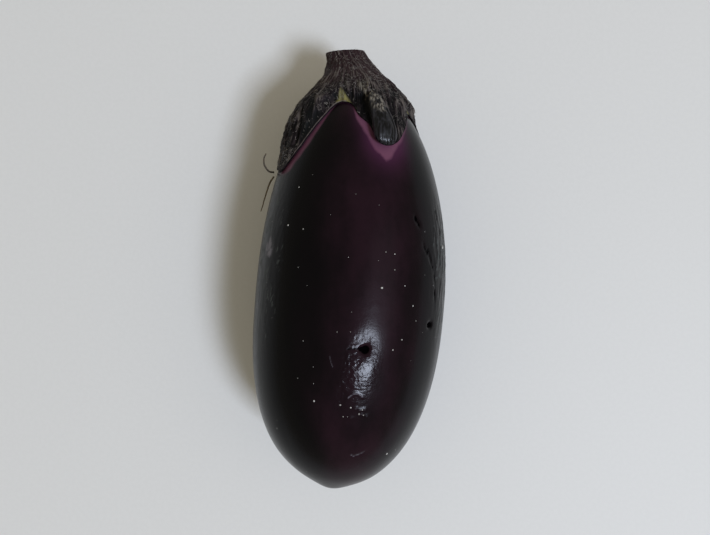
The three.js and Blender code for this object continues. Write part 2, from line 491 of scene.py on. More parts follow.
def pit_relief(points, degrees, y):
    """The pit, the puckered ring that stands round it, and the finer rings outside that."""
    across, along = away_from(degrees, y, PIT)
    gap = np.hypot(across, along)
    gap = gap * (1 + 0.22 * lumps(points, 2.6, 15))
    upper_right = (0.8 * across + 1.2 * along) / np.maximum(gap, 0.3) / 1.5
    broken = 1 + 0.7 * lumps(points, 1.7, 16)
    ring = np.exp(-(((gap - RING_RADIUS) / RING_WIDTH) ** 2)) * RING_HEIGHT * (1 + upper_right) * broken
    waves = np.sin(2 * np.pi * gap / OUTER_SPACING + 6 * lumps(points, 1.9, 9))
    outer = OUTER_HEIGHT * waves * np.exp(-(((gap - OUTER_RADIUS) / OUTER_WIDTH) ** 2))
    hole = -PIT_DEPTH * pit_hole(degrees, y)
    dish = -DISH_DEPTH * np.exp(-((np.hypot(across + 0.3, along - 1.1) / DISH_RADIUS) ** 2))
    return ring + outer + hole + dish + strokes(degrees, y, SPLIT_LINES)


def look_at(measure, degrees, y):
    """What a relief or a set of marks gives at one place of the skin."""
    one = np.ones((1, 1))
    points = around(degrees * one, y * one, fruit_radius(y * one))
    return measure(points, degrees * one, y * one)


print("height in the pit:", look_at(pit_relief, *PIT).round(2), "mm")

# %% [markdown]
# ## Relief of the whole skin
#
# All the marks are added up as one height at each place: broad unevenness, the wrinkled and puckered
# fields, raised and sunken lines, the chain of cracks, bumps, and the folds of the flanks. Tables hold
# the sizes and heights, so that one line of code makes each kind of mark.

# %% Relief of the skin
# Layers of noise: size, seed and height in millimetres.
BROAD_LAYERS = [(38, 1, 0.22), ((8, 60, 8), 2, 0.10), ((1.6, 4, 1.6), 5, 0.006)]
WRINKLE_LAYERS = [((2.4, 1.6, 2.4), 3, 0.026), (0.95, 4, 0.022)]
PUCKER_LAYERS = [((1.5, 1.9, 1.5), 20, 0.07)]
CRACK_SIZE = (1.2, 1.4, 1.2)
CRACK_SEED = 6
# Each line: its places, its shift along the fruit, its height and its width in millimetres.
SKIN_LINES = [
    (SMALL_ARC, 0, 0.03, 0.4), (LOW_ARC, 0, 0.10, 0.4), (CUT, 0, -0.16, 0.35), (CUT, 0.8, 0.10, 0.5),
    (SCRATCH, 0, 0.05, 0.3), (DARK_DENT, 0, -0.22, 0.6),
]
SKIN_LINES += [(crease, 0, -0.14, 0.4) for crease in FLANK_CREASES]
RIPPLE_HEIGHT = 0.036
RIPPLE_SPACING = 1.1
RIPPLE_CURVE = 0.012
SWELLING = 0.13
BUMP_HEIGHT = 0.15
SPOT_DEPTH = 0.7
# The folds of a flank: where, half width and half length, noise size, seed and height.
FLANK_FOLDS = [
    (FOLDED_FLANK, 8, 22, (1.7, 9, 1.7), 7, 0.20),
    (SCUFFED_FLANK, 10, 26, (1.7, 8, 1.7), 8, 0.07),
]


def skin_relief(points, degrees, y):
    """How far each place of the skin stands out from the plain outline, in millimetres."""
    lift = uneven(points, BROAD_LAYERS) + pit_relief(points, degrees, y) + strokes(degrees, y, SKIN_LINES)
    lift += spot(degrees, y, WRINKLED, 5.4, 12, 4) * uneven(points, WRINKLE_LAYERS)
    lift += spot(degrees, y, PUCKERED, 2.6, 6.5, 4) * uneven(points, PUCKER_LAYERS)
    lift += SWELLING * spot(degrees, y, SWOLLEN, 4.2, 4.2)
    bent = y + RIPPLE_CURVE * (degrees - RIPPLED[0]) ** 2
    lift += spot(degrees, y, RIPPLED, 4.6, 2.1) * RIPPLE_HEIGHT * np.sin(2 * np.pi * bent / RIPPLE_SPACING)
    lift += stroke(degrees, y, CRACKS, 1.3) * (0.16 * ridges(points, CRACK_SIZE, CRACK_SEED) - 0.08)
    for place in BUMPS:
        lift += BUMP_HEIGHT * spot(degrees, y, place, 0.75, 0.42)
    lift -= SPOT_DEPTH * spot(degrees, y, DARK_SPOT, 1.4, 1.0, 4)
    for flank, half_width, half_length, size, seed, height in FLANK_FOLDS:
        lift += spot(degrees, y, flank, half_width, half_length, 4) * height * ridges(points, size, seed)
    return lift


print("height in the cut:", look_at(skin_relief, *CUT[2]).round(2), "mm")

# %% [markdown]
# ## Colour marks near the calyx and on the upper side
#
# These values go to the finish. The pink band along the calyx's edge is wider where the fruit has
# grown fastest. A magenta glow spreads from it over the front. Along the upper side, towards the light,
# a wine red is laid on in lumps: partly the skin's own colour and partly painted sheen.

# %% Band and glow
# Width of the pink band in millimetres, at angles round the fruit.
BLUSH_WIDTH = [
    (-180, 1.6), (-80, 1.2), (-64, 1.0), (-57, 2.2), (-50, 2.9), (-44, 2.7), (-35, 2.3), (-28, 1.2),
    (-20, 0.1), (-4, 0.1), (0, 1.4), (5, 2.2), (11, 2.6), (17, 3.2), (21, 4.6), (27, 3.2), (33, 1.5),
    (41, 1.1), (55, 0.8), (66, 0.3), (80, 1.2), (180, 1.6),
]
BLUSH_STRENGTH = [(-70, 0.7), (-20, 0.8), (0, 1), (180, 1)]
GLOW_PLACE = (22, 40)
GLOW_FADE = 6
# Band of wine red along the upper side, towards the light: partly the skin's own colour, partly painted
# sheen.
WINE_SHEEN_MIDDLE = 13
WINE_SHEEN_WIDTH = 32


def colour_marks(points, degrees, y):
    """Where the skin is pink and magenta, and where its wine red lies, which is partly painted sheen."""
    edge_gap = distance_to_edge(degrees, y)
    band = np.interp(degrees, *np.array(BLUSH_WIDTH, float).T) * (1 + 0.35 * lumps(points, 4, 12))
    strength = np.interp(degrees, *np.array(BLUSH_STRENGTH, float).T)
    front = spot(degrees, y, GLOW_PLACE, 12, 26)
    wine_and_sheen = np.exp(-(((degrees - WINE_SHEEN_MIDDLE) / WINE_SHEEN_WIDTH) ** 2))
    return {
        "blush": strength * smooth((band - edge_gap) / 2.0 + 0.5),
        "glow": np.exp(-edge_gap / GLOW_FADE) * (0.04 + 1.3 * front),
        "wine_and_sheen": np.clip(wine_and_sheen * (0.75 + 0.45 * lumps(points, (8, 17, 8), 13)), 0, 1),
    }


print("pink below the right lobe:", look_at(colour_marks, 21, 43)["blush"].round(2))

# %% [markdown]
# ## Pale marks, painted glints and painted shade
#
# Dried edges of scratches, cracks and bumps are pale, and so are the smudge and the scuffed flanks,
# in patches with short nicks. On the two arcs, the cracks and the bumps the pale paint is also a painted
# highlight: glints. Holes and creases are painted black as shade, broken up by noise as they would be by
# dust. Below the calyx both flanks carry a thin film of bloom, the wax of the skin.

# %% Pale marks, painted glints and painted shade
# Each line: its places, its shift along the fruit, its strength and its width in millimetres.
# The two arcs are painted glints; the scratch and the cut are dried and pale.
PALE_AND_GLINT_LINES = [
    (SCRATCH, 0, 0.8, 0.28), (CUT, 0, 1, 0.3), (LOW_ARC, 0, 1.2, 0.28), (SMALL_ARC, 0, 0.35, 0.3),
]
BLOOM_FROM = 60
BLOOM_LOW_Y = -50
BLOOM_HIGH_Y = 56


def pale_marks(points, degrees, y):
    """Where the skin has scratches, scuffs, a film of wax, or painted glints."""
    cracked = smooth(ridges(points, CRACK_SIZE, CRACK_SEED) * 2 - 0.9)
    # Scratches and the cut are pale; on the arcs and the cracks the pale is also painted glints.
    scratch_and_glint = strokes(degrees, y, PALE_AND_GLINT_LINES) + 0.7 * stroke(degrees, y, CRACKS, 0.9) * cracked
    # The bumps: partly corky, partly painted glints.
    scratch_and_glint += 0.8 * sum(spot(degrees, y, place, 0.7, 0.36) for place in BUMPS)
    smeared = smooth(0.8 + 0.8 * lumps(points, 1.8, 17))
    scratch_and_glint += 2.0 * spot(degrees, y, SMUDGE, 2.4, 3.2) * smeared
    patchy = smooth(0.5 + 1.1 * lumps(points, (4, 9, 4), 45))
    nicks = smooth(2.2 * ridges(points, (1.2, 3.2, 1.2), 46) - 1.1)
    folds = 1.2 * ridges(points, (1.7, 9, 1.7), 7) ** 2 + 1.1 * nicks
    scrapes = 0.9 * ridges(points, (1.7, 8, 1.7), 8) ** 2 + 1.0 * nicks
    scuffed = spot(degrees, y, FOLDED_FLANK, 8, 22, 3) * folds
    scuffed += spot(degrees, y, SCUFFED_FLANK, 9, 26, 3) * scrapes
    flank = smooth((np.abs(degrees - 8) - BLOOM_FROM) / 7 + 0.3 * lumps(points, (6, 18, 6), 18))
    return {
        "scratch_and_glint": np.clip(scratch_and_glint, 0, 1),
        "scuffed": np.clip(scuffed * patchy, 0, 1),
        "bloom": flank * smooth((y - BLOOM_LOW_Y) / 25) * smooth((BLOOM_HIGH_Y - y) / 12),
    }


def shade_and_wrinkle_marks(points, degrees, y):
    """Where painted shade makes a hole, a dent or a crease black, and where the skin is wrinkled, puckered
    or swollen.
    """
    broken = smooth(0.6 + 1.3 * lumps(points, (1.4, 1.8, 1.4), 19))
    # Painted shade: the hole, the dent, the split and the creases are made black.
    painted_shade_mask = spot(degrees, y, DARK_SPOT, 1.5, 1.05, 4) + 0.9 * broken * stroke(degrees, y, DARK_DENT, 0.7)
    for crease in FLANK_CREASES:
        painted_shade_mask += 0.9 * broken * stroke(degrees, y, crease, 0.35)
    painted_shade_mask += 1.2 * pit_hole(degrees, y) + 0.7 * stroke(degrees, y, PIT_SPLIT, 0.3)
    return {
        "painted_shade_mask": np.clip(painted_shade_mask, 0, 1),
        "wrinkled": spot(degrees, y, WRINKLED, 6.2, 13, 4),
        "puckered": spot(degrees, y, PUCKERED, 3, 7, 4),
        "swollen": spot(degrees, y, SWOLLEN, 3.2, 3.6),
    }


print("pale at the smudge:", look_at(pale_marks, *SMUDGE)["scratch_and_glint"].round(2))
print("dark in the pit:", look_at(shade_and_wrinkle_marks, *PIT)["painted_shade_mask"].round(2))

# %% [markdown]
# ## The blossom end
#
# The flower fell off this end and left a small blunt scar, a little off the middle: a corky patch with
# a low lip round it. Beside it the fruit bulges on one side and is flatter on the other.

# %% Blossom end
SCAR_RADIUS = 2.3
LIP_WIDTH = 1.2
# Bulges and flats round the blossom end: x, z, size and height in millimetres.
BLOSSOM_SHAPE = [(-6.5, 38, 4.6, 0.8), (-17, 37, 7.5, -0.5)]


def blossom_scar(points, y):
    """The relief of the blossom end, and how corky the skin is there."""
    here = y < WIDEST_Y
    from_end = np.hypot(points[..., 0] - axis_x(BLOSSOM_END), points[..., 2] - axis_z(BLOSSOM_END))
    from_end = from_end * (1 + 0.25 * lumps(points, (1.8, 40, 1.8), 10))
    scar = here * np.exp(-((from_end / SCAR_RADIUS) ** 4))
    lip = here * np.exp(-(((from_end - SCAR_RADIUS) / LIP_WIDTH) ** 2))
    lift = 0.25 * lip - 0.3 * scar * (1 + 0.6 * lumps(points, 1.4, 11))
    for x, z, size, height in BLOSSOM_SHAPE:
        beside = np.hypot(points[..., 0] - x, points[..., 2] - z)
        lift += here * height * np.exp(-((beside / size) ** 2))
    return lift, scar + 0.45 * lip


end_place = around(0, BLOSSOM_END, 0.0)[None, None]
print("cork in the scar:", blossom_scar(end_place, np.full((1, 1), BLOSSOM_END))[1].round(2))

# %% [markdown]
# ## The fruit
#
# The whole skin is one mesh of rings. Rings and columns stand closer together round the pit, where
# the detail is fine, and further apart on the belly. The belly is flattened where the fruit rests, and
# the marks fade out above it, so that it lies flat.

# %% Shape of the fruit
FRUIT_SIDES = 384
FRUIT_RINGS = 254
# Where sides and rings crowd together: the middle, the width and how much closer they stand.
CROWDED_SIDES = (15, 45, 1.7)
CROWDED_RINGS = (-9, 30, 1.3)
BELLY_FADE = (118, 150)
FINE_STEPS = 4001


def crowded(low, high, count, centre, width, extra):
    """Places from low to high that stand closer together round a centre."""
    fine = np.linspace(low, high, FINE_STEPS)
    density = 1 + extra * np.exp(-(((fine - centre) / width) ** 2))
    total = np.concatenate(([0], np.cumsum((density[1:] + density[:-1]) / 2)))
    return np.interp(np.linspace(0, total[-1], count), total, fine)


def fruit_mesh():
    sides = crowded(-180, 180, FRUIT_SIDES + 1, *CROWDED_SIDES)[:-1]
    turns = crowded(-90, 90, FRUIT_RINGS + 2, *CROWDED_RINGS)[1:-1]
    degrees, turn = np.meshgrid(sides, turns)
    y = fruit_place(turn)
    points, normals = skin(degrees, turn)
    lift = skin_relief(points, degrees, y)
    fade_low, fade_high = BELLY_FADE
    lift *= 1 - smooth((np.abs(degrees) - fade_low) / (fade_high - fade_low))
    end_lift, cork = blossom_scar(points, y)
    points = points + normals * (lift + end_lift)[..., None]
    points[..., 2] = np.maximum(points[..., 2], 0)
    mesh = closed_rings("eggplant_fruit", points, points[0].mean(axis=0), points[-1].mean(axis=0))
    keep_values(mesh, {"scar": cork})
    keep_values(mesh, colour_marks(points, degrees, y))
    keep_values(mesh, pale_marks(points, degrees, y))
    keep_values(mesh, shade_and_wrinkle_marks(points, degrees, y))
    return mesh


fruit_shape = fruit_mesh()
print("the fruit's values:", sorted(fruit_shape.attributes.keys()))

# %% [markdown]
# ## Shader maths as Python
#
# A material's nodes are easier to read as sums. `Wire` wraps the output of a node, so that
# `1 - mask` or `0.3 + 0.2 * noise` adds the Math nodes it needs.


# %% Sums of nodes
class Wire:
    """The output of a node, which can be used in sums."""

    def __init__(self, recipe, socket):
        self.recipe = recipe
        self.socket = socket

    def _sum(self, operation, first, second):
        return self.recipe.node("ShaderNodeMath", {"operation": operation}, {0: first, 1: second})

    def __add__(self, other):
        return self._sum("ADD", self, other)

    def __radd__(self, other):
        return self._sum("ADD", other, self)

    def __sub__(self, other):
        return self._sum("SUBTRACT", self, other)

    def __rsub__(self, other):
        return self._sum("SUBTRACT", other, self)

    def __mul__(self, other):
        return self._sum("MULTIPLY", self, other)

    def __rmul__(self, other):
        return self._sum("MULTIPLY", other, self)


def tone(red, green, blue):
    """A colour, in light's own linear numbers."""
    return (red, green, blue, 1.0)


print("sums:", [name for name in vars(Wire) if name.startswith("__r")])

# %% [markdown]
# ## One recipe for each finish
#
# `Recipe` holds one material. Its one method `node` makes any node, from the node's type, its settings
# and what feeds it. The small methods after it name the few nodes that every finish here uses. The
# patterns read the object's own coordinates, so they stay with the piece.


# %% Recipe of a material
# Painted shade: the black that is mixed into holes, dents and creases.
PAINTED_SHADE_BLACK = tone(0.0012, 0.001, 0.0012)


class Recipe:
    """One material, built node by node."""

    def __init__(self, name):
        self.material = bpy.data.materials.new(name)
        self.material.use_nodes = True
        self.tree = self.material.node_tree
        self.tree.nodes.clear()
        self.place = self.node("ShaderNodeTexCoord", {}, {}, "Object")

    def node(self, kind, settings, feeds, output=0):
        made = self.tree.nodes.new(kind)
        for name, value in settings.items():
            setattr(made, name, value)
        for name, value in feeds.items():
            if isinstance(value, Wire):
                self.tree.links.new(value.socket, made.inputs[name])
            else:
                made.inputs[name].default_value = value
        return Wire(self, made.outputs[output])

    def value(self, name):
        """A value that was stored on the mesh."""
        return self.node("ShaderNodeAttribute", {"attribute_name": name}, {}, "Fac")

    def places(self, name):
        """Places that were stored on the mesh, to be used in place of the object's own."""
        return self.node("ShaderNodeAttribute", {"attribute_name": name}, {}, "Vector")

    def grain(self, size, detail=3.0, stretch=(1, 1, 1), place=None):
        """Noise from 0 to 1 with grains of a size in millimetres, longer where stretch is above 1."""
        scale = tuple(1 / (size * MM * part) for part in stretch)
        mapped = self.node("ShaderNodeMapping", {}, {"Vector": place or self.place, "Scale": scale}, 0)
        feeds = {"Vector": mapped, "Scale": 1.0, "Detail": detail, "Roughness": 0.55}
        return self.node("ShaderNodeTexNoise", {}, feeds, "Fac")

    def cells(self, size):
        """Domed cells of a size in millimetres, 0 in the middle of each and higher towards its edge."""
        feeds = {"Vector": self.place, "Scale": 1 / (size * MM)}
        return self.node("ShaderNodeTexVoronoi", {}, feeds, "Distance")

    def between(self, value, low, high):
        """Eases from 0 at low to 1 at high."""
        settings = {"interpolation_type": "SMOOTHSTEP"}
        feeds = {"Value": value, "From Min": low, "From Max": high}
        return self.node("ShaderNodeMapRange", settings, feeds, 0)

    def mix(self, share, first, second):
        """A colour that goes from the first to the second as the share goes from 0 to 1."""
        feeds = {0: share, 6: first, 7: second}
        return self.node("ShaderNodeMix", {"data_type": "RGBA"}, feeds, 2)

    def bump(self, height, depth, strength, under=None):
        """A normal that leans as if the surface had this height, in millimetres of depth."""
        feeds = {"Height": height, "Distance": depth * MM, "Strength": strength}
        if under is not None:
            feeds["Normal"] = under
        return self.node("ShaderNodeBump", {}, feeds, 0)

    def finish(self, colour, roughness, normal, shine=0.5, painted_shade=None):
        """Joins everything to the surface and returns the material. Where painted shade is given, a black,
        dull surface is mixed in.
        """
        feeds = {"Base Color": colour, "Roughness": roughness, "Normal": normal, "Specular IOR Level": shine}
        surface = self.node("ShaderNodeBsdfPrincipled", {}, feeds)
        if painted_shade is not None:
            feeds = {"Base Color": PAINTED_SHADE_BLACK, "Roughness": 0.9, "Specular IOR Level": 0.0}
            black = self.node("ShaderNodeBsdfPrincipled", {}, feeds)
            surface = self.node("ShaderNodeMixShader", {}, {0: painted_shade, 1: surface, 2: black})
        output = self.tree.nodes.new("ShaderNodeOutputMaterial")
        self.tree.links.new(surface.socket, output.inputs["Surface"])
        print(f"{self.material.name}: {len(self.tree.nodes)} nodes")
        return self.material

# %% [markdown]
# ## Colour of the skin
#
# The skin is nearly black. Along the upper side, where the light falls full on it, a deep wine red is
# painted in: partly the skin's own colour and partly painted sheen. It turns magenta towards the calyx
# and pale pink right at its edge. The film of wax is a cool dark grey, scuffs and dried scratches are
# pale, painted glints are pale too, and the scar is corky. Each tone is laid over the one before, where
# its value on the mesh is high.

# %% Colour of the skin
NEARLY_BLACK = tone(0.0007, 0.0006, 0.0012)
# Wine red: partly the skin's own colour, partly painted sheen where the light falls.
WINE_RED_AND_SHEEN = tone(0.0130, 0.0046, 0.0082)
MAGENTA = tone(0.055, 0.014, 0.040)
WAX_GREY = tone(0.0105, 0.0125, 0.0118)
SCUFF_GREY = tone(0.050, 0.056, 0.054)
DUSKY_PINK = tone(0.135, 0.050, 0.086)
# Pale of dried scratches and of the smudge, and of painted glints.
SCRATCH_AND_GLINT_PALE = tone(0.13, 0.12, 0.14)
CORK_DARK = tone(0.012, 0.008, 0.006)
CORK_PALE = tone(0.060, 0.045, 0.029)


def skin_colour(look, mottle):
    """The skin's colour, and how scuffed, filmed and corky each place is."""
    streaks = look.grain(5, 3.0, (1, 9, 1))
    blotches = look.grain(4.5, 4.0, (1, 1.7, 1))
    # Painted sheen: the wine red band along the upper side, mixed with the skin's own red.
    depth = look.value("wine_and_sheen") * (0.1 + 0.6 * streaks + 0.3 * mottle + 0.9 * blotches)
    base = look.mix(look.between(depth, 0.0, 1.05), NEARLY_BLACK, WINE_RED_AND_SHEEN)
    base = look.mix(look.between(look.value("glow"), 0.05, 0.95), base, MAGENTA)
    film = look.between(look.grain(2.4, 5.0, (1, 2.5, 1)), 0.36, 0.64)
    bloom = look.value("bloom") * (0.45 + 0.45 * film)
    base = look.mix(bloom * 0.8, base, WAX_GREY)
    scuffed = look.value("scuffed")
    dull = look.between(scuffed * (0.3 + 1.2 * streaks) + 0.25 * scuffed * mottle, 0.12, 0.75)
    base = look.mix(dull * 0.85, base, SCUFF_GREY)
    blush = look.value("blush") * (0.75 + 0.5 * mottle)
    base = look.mix(look.between(blush, 0.05, 1.0), base, DUSKY_PINK)
    # Pale scratches and smudge, with painted glints on the arcs, the cracks and the bumps.
    pale = look.value("scratch_and_glint") * (0.35 + 0.9 * mottle)
    base = look.mix(look.between(pale, 0.3, 1.0), base, SCRATCH_AND_GLINT_PALE)
    cork = look.between(look.value("scar") * (0.3 + 1.3 * mottle), 0.3, 1.1)
    cork_tone = look.mix(look.between(look.grain(0.8, 4.0), 0.4, 0.65), CORK_DARK, CORK_PALE)
    return look.mix(cork, base, cork_tone), dull, bloom, cork


print("the skin goes from", NEARLY_BLACK[:3], "to", DUSKY_PINK[:3])

# %% [markdown]
# ## Gloss of the skin
#
# Sound skin is glossy like polished leather. Scuffed, filmed and corky skin has lost its shine, so it
# reflects the light more broadly: that is roughness. Stretched, swollen skin is the glossiest. Three
# bumps follow one another: a soft waviness, a fine peel, and the cells of the puckered field.


# %% Gloss of the skin
def skin_material():
    look = Recipe("eggplant_skin")
    mottle = look.grain(2.2, 4.0)
    base, dull, bloom, cork = skin_colour(look, mottle)
    swollen = look.value("swollen")
    wrinkled = look.value("wrinkled") * (1 - 0.4 * swollen)
    rough = 0.235 - 0.06 * wrinkled - 0.07 * swollen + 0.25 * dull + 0.08 * (mottle - 0.5) + 0.1 * bloom
    rough = rough + 0.15 * look.value("blush") + 0.4 * cork
    soft = look.bump(look.grain(3.5, 2.0, (1, 3, 1)), 0.10, 0.25)
    fine = look.bump(look.grain(0.6, 2.0) * (0.3 + 1.0 * wrinkled), 0.08, 0.5, soft)
    puckers = look.cells(1.3) * (0.45 * wrinkled + 0.9 * look.value("puckered"))
    puckered = look.bump(puckers, 0.06, 1.0, fine)
    # Painted shade: black in the pit, the split, the dent, the hole and the creases.
    painted_shade_mask = look.between(look.value("painted_shade_mask") * (0.6 + 0.8 * mottle), 0.15, 0.7)
    return look.finish(base, rough, puckered, shine=0.105, painted_shade=painted_shade_mask)


fruit = place_piece("eggplant_fruit", fruit_shape, skin_material())

# %% [markdown]
# ## Outline of the calyx
#
# The calyx is a leathery cap. Its upper surface stands off the fruit by one to three millimetres and
# thins towards the edge. Its outline is a radius for each place along the fruit, as for the fruit
# itself, and it is fuller on one side, because the neck leans.

# %% Outline of the calyx
GAP = 0.3
NECK_Y = 73
CALYX_OUTLINE = [
    (77, 8.0), (73, 10.1), (69, 13.6), (65, 17.2), (60.5, 20.7), (54, 23.3), (45, 25.9), (33, 29.4),
    (21, 32),
]
OUTLINE_TENSION = 0.5
CALYX_SWELL = -0.2
CALYX_SIDEWAYS = 0.95
SWELL_FROM_Y = 44
SWELL_FULL_Y = 53
SWELL_TO_Y = 71
STEM_LEAN = -3.3
LEAN_FROM_Y = 67
STEM_CUT_Y = 79.8
LEAN_POWER = 1.5

outline_y, outline_radius = smooth_line(CALYX_OUTLINE, OUTLINE_TENSION, 20)[::-1].T


def lean(y):
    """How far the neck and the stem have leaned sideways."""
    share = np.maximum(y - LEAN_FROM_Y, 0) / (STEM_CUT_Y - LEAN_FROM_Y)
    return STEM_LEAN * share**LEAN_POWER


def cap_radius(degrees, y):
    """Outer radius of the calyx about the fruit's centre line, before ribs and lumps."""
    falling = smooth((SWELL_TO_Y - y) / (SWELL_TO_Y - SWELL_FULL_Y))
    rising = smooth((y - SWELL_FROM_Y) / (SWELL_FULL_Y - SWELL_FROM_Y))
    swollen = np.where(y > SWELL_FULL_Y, falling, rising)
    sideways = CALYX_SWELL - CALYX_SIDEWAYS * np.sin(np.radians(degrees))
    return np.interp(y, outline_y, outline_radius) + swollen * sideways


print(f"the calyx is {cap_radius(0, 60) - fruit_radius(60):.1f} mm thick at y 60")

# %% [markdown]
# ## Folds that spread like a fan
#
# The calyx's folds run from the neck to the tips of the lobes and spread on the way. Noise that is read
# on a straight tube, and not on the cap itself, does just that: on the tube the folds are parallel,
# and the cap's growing girth spreads them.

# %% Folds of the calyx
FAN_RADIUS = 22
BROAD_FOLDS = (3.0, 13, 3.0)
FINE_FOLDS = (1.4, 6, 1.4)
BROAD_SEED = 22
FINE_SEED = 23


def fanned(degrees, y):
    """Places on a straight tube. Noise read there is spread like a fan, narrow at the neck."""
    angle = np.radians(degrees)
    parts = (FAN_RADIUS * np.sin(angle), y, FAN_RADIUS * np.cos(angle))
    return np.stack(np.broadcast_arrays(*parts), axis=-1)


def crests(degrees, y):
    """Near 1 on the crests of the folds, and 0 between them."""
    fan = fanned(degrees, y)
    return 0.6 * ridges(fan, BROAD_FOLDS, BROAD_SEED) + 0.5 * ridges(fan, FINE_FOLDS, FINE_SEED)


print("crests at the middle of the neck:", crests(np.zeros(1), np.full(1, 66.0)).round(2))

# %% [markdown]
# ## Relief of the calyx
#
# The broad lobe has a deep crease where two sepals have grown together, and a rib runs to each tip.
# Beside the rolled sepal lies a groove, and above it the edge where the sepal tore.

# %% Relief of the calyx
CREASE = [(-50, 57.5), (-47.5, 53), (-47.8, 49.9), (-48.8, 46.5)]
SECOND_CREASE = [(-66, 55), (-70, 50), (-72, 45)]
GROOVE = [(6.5, 61), (8.5, 58), (10.4, 54.5), (11, 51.5)]
TORN = [(8.6, 66), (10.4, 64), (12.4, 62.2), (14.6, 60.2), (17, 58.4), (18.6, 56.4)]
TORN_SIZE = (1.1, 2.6, 1.1)
TORN_SEED = 25
RIB_TIPS = [(-61, 40), (-160, 42.5), (-242, 44), (21, 46)]
RIB_TOP_Y = 70.0
RIB_SLANT = 0.995
# Each line: its places, its shift along the fruit, its height and its width in millimetres.
CALYX_LINES = [([(degrees * RIB_SLANT, RIB_TOP_Y), (degrees, y)], 0, 0.25, 1.6) for degrees, y in RIB_TIPS]
CALYX_LINES += [(CREASE, 0, -0.85, 0.75), (SECOND_CREASE, 0, -0.40, 0.9), (GROOVE, 0, -1.5, 1.2)]
CREASE_LIP_DEGREES = 3.2


def cap_relief(points, degrees, y):
    """Ribs, lumps and creases of the calyx's outside, in millimetres."""
    fan = fanned(degrees, y)
    lift = uneven(points, [(9, 21, 0.30), (0.8, 24, 0.10)]) - 0.50
    lift += 0.60 * ridges(fan, BROAD_FOLDS, BROAD_SEED) + 0.36 * ridges(fan, FINE_FOLDS, FINE_SEED)
    lift += strokes(degrees, y, CALYX_LINES)
    lift += 0.35 * stroke(degrees - CREASE_LIP_DEGREES, y, CREASE, 1.2)
    lift += 0.55 * stroke(degrees, y, TORN, 1.3) * (0.2 + ridges(points, TORN_SIZE, TORN_SEED))
    return lift


print("height in the crease:", look_at(cap_relief, *CREASE[1]).round(2), "mm")

# %% [markdown]
# ## Outside of the calyx
#
# The outside is built column by column, from the neck down to the edge. Close to the edge it thins to a
# rim, and the relief fades out there and at the neck, where the stem takes over.

# %% Outside of the calyx
RIM_THICKNESS = 0.5
RIM_WIDTH = 4.5
LEAST_THICKNESS = 0.4
OUTER_ROWS = 88
ROW_CROWDING = 0.92


def calyx_outside(rim_y):
    """The outside's points, their angles and places, and how far each is from the edge."""
    shares = np.linspace(0, 1, OUTER_ROWS)[:, None] ** ROW_CROWDING
    y = NECK_Y + shares * (rim_y[None] - NECK_Y)
    degrees = np.broadcast_to(edge_degrees, y.shape)
    gap = distance_to_edge(degrees, y)
    full = cap_radius(degrees, y)
    thin = fruit_radius(y) + GAP + RIM_THICKNESS
    radius = thin + (full - thin) * smooth(gap / RIM_WIDTH)
    plain = around(degrees, y, radius)
    steady = smooth(gap / 3) * smooth((NECK_Y - y) / 5 + 0.1)
    radius = radius + steady * cap_relief(plain, degrees, y)
    radius = np.maximum(radius, fruit_radius(y) + GAP + LEAST_THICKNESS)
    points = around(degrees, y, radius)
    points[..., 0] += lean(y)
    return points, degrees, y, gap


print(f"{OUTER_ROWS} rows from the neck to the edge, of {CALYX_SIDES} points each")

# %% [markdown]
# ## Rim of the calyx
#
# A half-round rim joins the outside to the inside, so that the leaf's edge catches the light and isn't
# a knife. It swells away from the leaf, square to the edge, along the skin.

# %% Rim of the calyx
RIM_ROWS = 5
RIM_REACH = 0.4


def calyx_rim(rim_y, outer):
    """Rows of points round the rim."""
    rim_line = np.stack([edge_degrees, rim_y], axis=1)
    ahead, behind = np.roll(rim_line, -1, axis=0), np.roll(rim_line, 1, axis=0)
    step_across = np.radians(turned(ahead[:, 0] - behind[:, 0])) * fruit_radius(rim_y)
    step_along = ahead[:, 1] - behind[:, 1]
    length = np.hypot(step_across, step_along)
    out_across, out_along = -step_along / length, step_across / length
    bottom, _ = skin(edge_degrees, shoulder_turn(rim_y), GAP * np.ones_like(rim_y))
    angle = np.radians(edge_degrees)
    rows = []
    for turn in np.linspace(0, math.pi, RIM_ROWS + 2)[1:]:
        share = (1 - math.cos(turn)) / 2
        reach = RIM_REACH * math.sin(turn)
        point = outer[-1] + share * (bottom - outer[-1])
        point[:, 0] += reach * out_across * np.cos(angle)
        point[:, 2] -= reach * out_across * np.sin(angle)
        point[:, 1] += reach * out_along
        rows.append(point)
    return np.array(rows)


print(f"{RIM_ROWS + 1} rows round the rim")

# %% [markdown]
# ## Marks on the calyx
#
# These values go to the calyx's finish and to its fuzz: the yellow-green notches, the torn edge, the
# creases and the groove beside the rolled sepal, which take painted shade and painted shadow, the pale
# line along the edge, a smooth patch on the broad lobe, and where hairs grow.

# %% Marks on the calyx
# Notches that are still green: the middle and half width in degrees, and where each begins and ends.
GREEN_NOTCHES = [(-13, 12.5, 58.7, 66.5), (66, 4, 57.5, 60.5)]
NOTCH_SLANT = 3
# How pale the edge is, at angles round the fruit.
PALE_EDGE = [
    (-75, 0.3), (-58, 0.45), (-46, 1), (-20, 1), (0, 0.9), (12, 0.7), (20, 0.3), (60, 0.5), (180, 0.5),
]
SMOOTH_PLACE = (-37, 50.5)
LOBE_TIP = (-58, 41)
UNDER_ROLL = [(14, 61), (20, 45.5)]
MOST_FUZZ = 2.5


